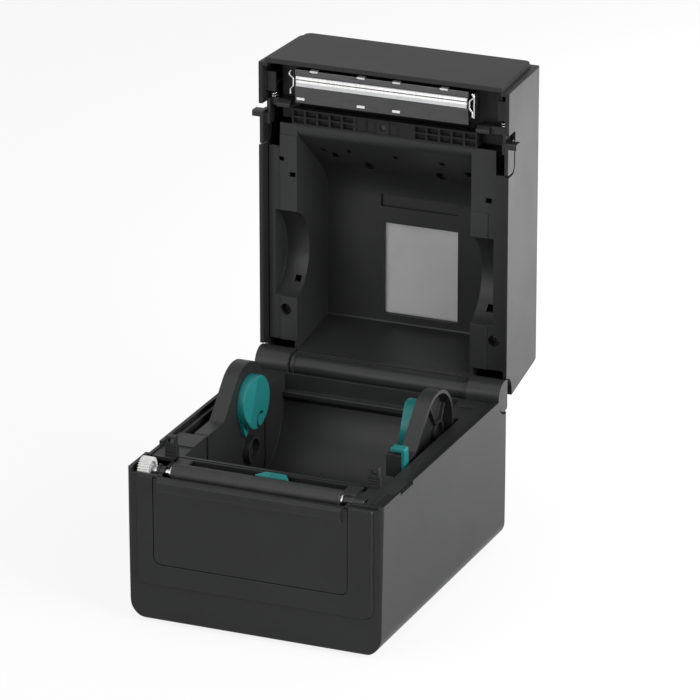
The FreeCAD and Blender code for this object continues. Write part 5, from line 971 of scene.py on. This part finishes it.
@dataclass
class PowerEntry(SubAssembly):
    """Main board with its ports and the power switch."""

    label: str = "power entry"
    contact_half: float = 0.5 * MM
    contact_thick: float = 0.12 * MM
    contact_length: float = 6.0 * MM
    contact_spread: float = 1.25 * MM
    tongue_half: float = 1.6 * MM
    tongue_end: float = 1.4 * MM
    tip_bend: float = 0.35 * MM
    rows: int = 24
    around: int = 16
    finishes: dict[str, Finish] = field(default_factory=lambda: {
        "main_board": Finishes.BOARD,
        "board_parts": Finishes.BLACK,
        "power_inlet": Finishes.BLACK,
        "usb_port": Finishes.ZINC,
        "switch_housing": Finishes.BLACK,
        "power_rocker": Finishes.GLOSS,
    })

    def build(self) -> None:
        """Spring contacts on both faces of the port's tongue."""
        low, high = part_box("usb_port")
        middle = (low + high) / 2
        patches = Patchwork()
        for across in (-self.contact_spread, self.contact_spread):
            for side in (-1.0, 1.0):
                height = middle.z + side * self.tongue_half
                patches.add(self.contact(middle.x + across, high.y - self.tongue_end, height, side))
        self.carry(patches.piece("port_contacts"), Finishes.GILT, "brass_pinion")

    def contact(self, across: float, end: float, height: float, side: float) -> np.ndarray:
        """A flat oval section carried along a leaf that dips into the tongue at both ends.

        The section's width and thickness go as the cosine and the sine of the turn, and both shrink to
        nought at the ends with the square root of one less the eighth power of the place, which runs from
        minus one to one. The leaf's height falls by the bend times the fourth power of the place.

        Args:
            across: X of the leaf's middle.
            end: Y of its rear end.
            height: Z of the tongue's face.
            side: One for the upper face and minus one for the lower.

        Returns:
            Points as rows by columns by three.
        """
        run = np.linspace(-1.0, 1.0, self.rows)[:, None]
        turn = np.linspace(0.0, 2.0 * math.pi, self.around, endpoint=False)[None, :]
        swell = np.sqrt(1.0 - run**8)
        points = np.empty((self.rows, self.around, 3))
        points[..., 0] = across + self.contact_half * swell * np.cos(turn)
        points[..., 1] = end - self.contact_length * (1.0 - run) / 2
        points[..., 2] = height + side * (self.contact_thick * swell * np.sin(turn) - self.tip_bend * run**4)
        return points


@dataclass
class Lid(SubAssembly):
    """Lid shell, front cover, liner, window, release levers and controls."""

    label: str = "lid"
    body: str = "lid"
    screw: CrossScrew = CrossScrew()
    coil: WireCoil = WireCoil()
    lever_travel: float = 4.0 * MM
    finishes: dict[str, Finish] = field(default_factory=lambda: {
        "lid_shell": Finishes.CASE,
        "lid_front_cover": Finishes.CASE,
        "lid_liner": Finishes.INNER,
        "media_window": Finishes.PANE,
        "release_lever_left": Finishes.BLACK,
        "release_lever_right": Finishes.BLACK,
        "feed_button": Finishes.CASE,
        "status_light": Finishes.LIGHT,
        "panel_board": Finishes.BOARD,
    })

    def build(self) -> None:
        """Threaded screws in place of the plain ones, and coiled lever springs."""
        piece = self.screw.set_of("liner_screws", "lid_screws", Axis.Y)
        self.carry(piece, Finishes.DARK_SCREW, "zinc_steel", "lid_screws")
        for side in ("left", "right"):
            self.lever_coil(side)

    def lever_coil(self, side: str) -> None:
        """One lever's spring, which stays on its upper seat.

        Args:
            side: The lever's side, left or right.
        """
        node = f"lever_spring_{side}"
        low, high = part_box(node)
        patches = Patchwork()
        patches.add(self.coil.grid(np.array(low), np.array(high)))
        coil = patches.piece(f"lever_coil_{side}")
        self.carry(coil, Finishes.SPRING, "spring_steel", node)
        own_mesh(coil)


@dataclass
class PrintHead(SubAssembly):
    """Head carrier and the floating head with its strip, heater bead, plates and clips."""

    label: str = "print head"
    body: str = "print_head"
    bead_share: float = 0.65
    bead_half: float = 0.45 * MM
    bead_proud: float = 0.09 * MM
    bead_inset: float = 1.2 * MM
    strip_colour: Colour = (0.5, 0.505, 0.51)
    strip_roughness: float = 0.2
    rows: int = 64
    around: int = 24
    finishes: dict[str, Finish] = field(default_factory=lambda: {
        # Painted shade: the carrier takes a darker plastic for its dark recess.
        "head_carrier": Finishes.SHADE_DARKENED,
        "gap_receiver": Finishes.GLOSS,
        "head_heatsink": Finishes.ALUMINIUM,
        "head_plates": Finishes.HEAD_PLATE,
        "head_tabs": Finishes.WHITE,
        "head_clips": Finishes.SPRING,
        "head_springs": Finishes.SPRING,
    })

    def build(self) -> None:
        """The heater bead, and the strip's own finish from its box."""
        low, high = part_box("thermal_strip")
        bead = low.z + self.bead_share * (high.z - low.z)
        strip = GlazedStrip("glazed_strip", self.strip_colour, self.strip_roughness, bead)
        self.finishes["thermal_strip"] = strip
        self.carry(self.heater_bead(low.x, high.x, low.y, bead), strip, "ceramic_strip")

    def heater_bead(self, start: float, end: float, face: float, height: float) -> bpy.types.Object:
        """A low half-round bead carried along the strip, which sinks into its face at both ends.

        The section goes as the sine across and the cosine out of the face, and both shrink along the
        strip with the square root of one less the sixteenth power of the place.

        Args:
            start: X of the strip's left end.
            end: X of its right end.
            face: Y of its face.
            height: Z of the heater line.

        Returns:
            The bead.
        """
        run = np.linspace(-1.0, 1.0, self.rows)[:, None]
        turn = np.linspace(0.0, 2.0 * math.pi, self.around, endpoint=False)[None, :]
        swell = np.sqrt(1.0 - run**16)
        half = (end - start) / 2 - self.bead_inset
        points = np.empty((self.rows, self.around, 3))
        points[..., 0] = (start + end) / 2 + half * run
        points[..., 1] = face - self.bead_proud * swell * np.cos(turn)
        points[..., 2] = height + self.bead_half * swell * np.sin(turn)
        patches = Patchwork()
        patches.add(points)
        return patches.piece("heater_bead")


@dataclass
class Softbox:
    """One square studio light."""

    name: str
    place: Point
    aim: Point
    side: float
    watts: float
    spread: float = 180.0

    def hang(self) -> None:
        """Make the light and turn it to its aim."""
        lamp = bpy.data.lights.new(self.name, "AREA")
        lamp.shape = "SQUARE"
        lamp.size = self.side
        lamp.energy = self.watts
        lamp.spread = math.radians(self.spread)
        stand = bpy.data.objects.new(self.name, lamp)
        stand.location = self.place
        heading = Vector(self.aim) - Vector(self.place)
        stand.rotation_euler = heading.to_track_quat("-Z", "Y").to_euler()
        bpy.context.scene.collection.objects.link(stand)


@dataclass
class Studio:
    """White floor, dim surroundings and soft lights from the right, the rear, the front and above."""

    floor_half: float = 12.0
    floor_colour: Colour = (0.86, 0.86, 0.86)
    floor_roughness: float = 0.9
    floor_gloss: float = 0.1
    floor_white: float = 0.86
    floor_mirrored: float = 0.45
    surround: float = 0.43
    surround_mirrored: float = 0.3

    def build(self) -> None:
        """Make the floor, the surroundings and the lights."""
        self.lay_floor()
        self.light_world()
        for box in (
            Softbox("right_key", (1.25, -0.3, 0.6), (0.0, 0.0, 0.14), 0.9, 22.0),
            Softbox("rear_floor", (0.42, 0.82, 0.9), (0.40, 0.80, 0.0), 0.5, 7.5, 84.0),
            Softbox("front_fill", (-0.75, -1.9, 0.95), (0.0, 0.0, 0.15), 1.4, 15.0),
            Softbox("top_fill", (-0.4, -0.5, 1.7), (0.0, 0.0, 0.15), 1.2, 5.0),
        ):
            box.hang()

    def lay_floor(self) -> None:
        """A flat grid whose material shows white to the camera and still takes a soft shadow."""
        span = np.linspace(-self.floor_half, self.floor_half, 3)
        x, y = np.meshgrid(span, span)
        points = np.stack([x.ravel(), y.ravel(), np.zeros(x.size)], axis=1)
        corner = np.array([0, 1, 4, 3])
        faces = np.concatenate([corner + start for start in (0, 1, 3, 4)]).reshape(-1, 4)
        mesh = bpy.data.meshes.new("floor")
        mesh.from_pydata(points.tolist(), [], faces.tolist())
        floor = bpy.data.objects.new("floor", mesh)
        bpy.context.scene.collection.objects.link(floor)
        mesh.materials.append(self.floor_material())

    def floor_material(self) -> bpy.types.Material:
        """Matt paper, part of which glows white for camera, glossy and transmission rays only.

        Returns:
            The floor's material.
        """
        shader = Shader("floor_paper")
        shader.feed(
            Base_Color=(*self.floor_colour, 1.0),
            Roughness=self.floor_roughness,
            Specular_IOR_Level=self.floor_gloss,
        )
        rays = shader.node("ShaderNodeLightPath")
        straight = rays.math("MAXIMUM", rays.pick("Is Camera Ray"), rays.pick("Is Transmission Ray"))
        mirror = rays.pick("Is Glossy Ray") * self.floor_mirrored
        seen = rays.math("MAXIMUM", straight * self.floor_white, mirror)
        glow = shader.node("ShaderNodeEmission", None, {"Color": (1.0, 1.0, 1.0, 1.0), "Strength": 1.0})
        paper = Signal(shader.tree, shader.surface.outputs[0])
        both = shader.node("ShaderNodeMixShader", None, {0: seen, 1: paper, 2: glow})
        shader.join(shader.output.inputs["Surface"], both)
        return shader.material

    def light_world(self) -> None:
        """Even surroundings that look white to the camera and through glass, and paler in mirrors."""
        world = bpy.data.worlds.new("surroundings")
        world.use_nodes = True
        bpy.context.scene.world = world
        tree = world.node_tree
        sky = tree.nodes["Background"]
        sky.inputs["Color"].default_value = (1.0, 1.0, 1.0, 1.0)
        rays = tree.nodes.new("ShaderNodeLightPath")
        kinds = ("Is Camera Ray", "Is Transmission Ray", "Is Glossy Ray")
        camera, glass, mirror = (Signal(tree, rays.outputs[kind]) for kind in kinds)
        straight = camera.math("MAXIMUM", camera, glass)
        seen = camera.math("MAXIMUM", straight, mirror * self.surround_mirrored)
        tree.links.new((seen * (1.0 - self.surround) + self.surround).socket, sky.inputs["Strength"])


@dataclass
class Viewpoint:
    """Camera at the photograph's angle, with a long lens."""

    azimuth: float = 22.93
    elevation: float = 20.74
    lens: float = 292.05
    right_shift: float = 58.25 * MM
    up_shift: float = 177.89 * MM
    distance: float = 3470.8 * MM
    front_plane: float = -130.85 * MM
    film: float = 36.0
    far: float = 60.0

    def stand(self) -> None:
        """Make the camera; it looks along minus the back vector, with no roll."""
        turn, tilt = math.radians(self.azimuth), math.radians(self.elevation)
        right = Vector((math.cos(turn), math.sin(turn), 0.0))
        back = Vector((math.sin(turn) * math.cos(tilt), -math.cos(turn) * math.cos(tilt), math.sin(tilt)))
        up = back.cross(right)
        data = bpy.data.cameras.new("camera")
        data.lens = self.lens
        data.sensor_width = self.film
        data.clip_end = self.far
        camera = bpy.data.objects.new("camera", data)
        place = right * self.right_shift + up * self.up_shift + back * self.distance
        place.y += self.front_plane
        axes = Matrix((right, up, back)).transposed().to_4x4()
        camera.matrix_world = Matrix.Translation(place) @ axes
        bpy.context.scene.collection.objects.link(camera)
        bpy.context.scene.camera = camera


def main() -> None:
    """Build and dress every sub-assembly, then set up the studio and the camera."""
    logging.basicConfig(level=logging.INFO, format="%(name)s: %(message)s")
    for assembly in (Case(), RollBay(), PrintMechanism(), PowerEntry(), Lid(), PrintHead()):
        assembly.build()
        assembly.dress()
    Studio().build()
    Viewpoint().stand()
    bpy.context.scene.view_settings.view_transform = "Standard"


if __name__ == "__main__":
    main()
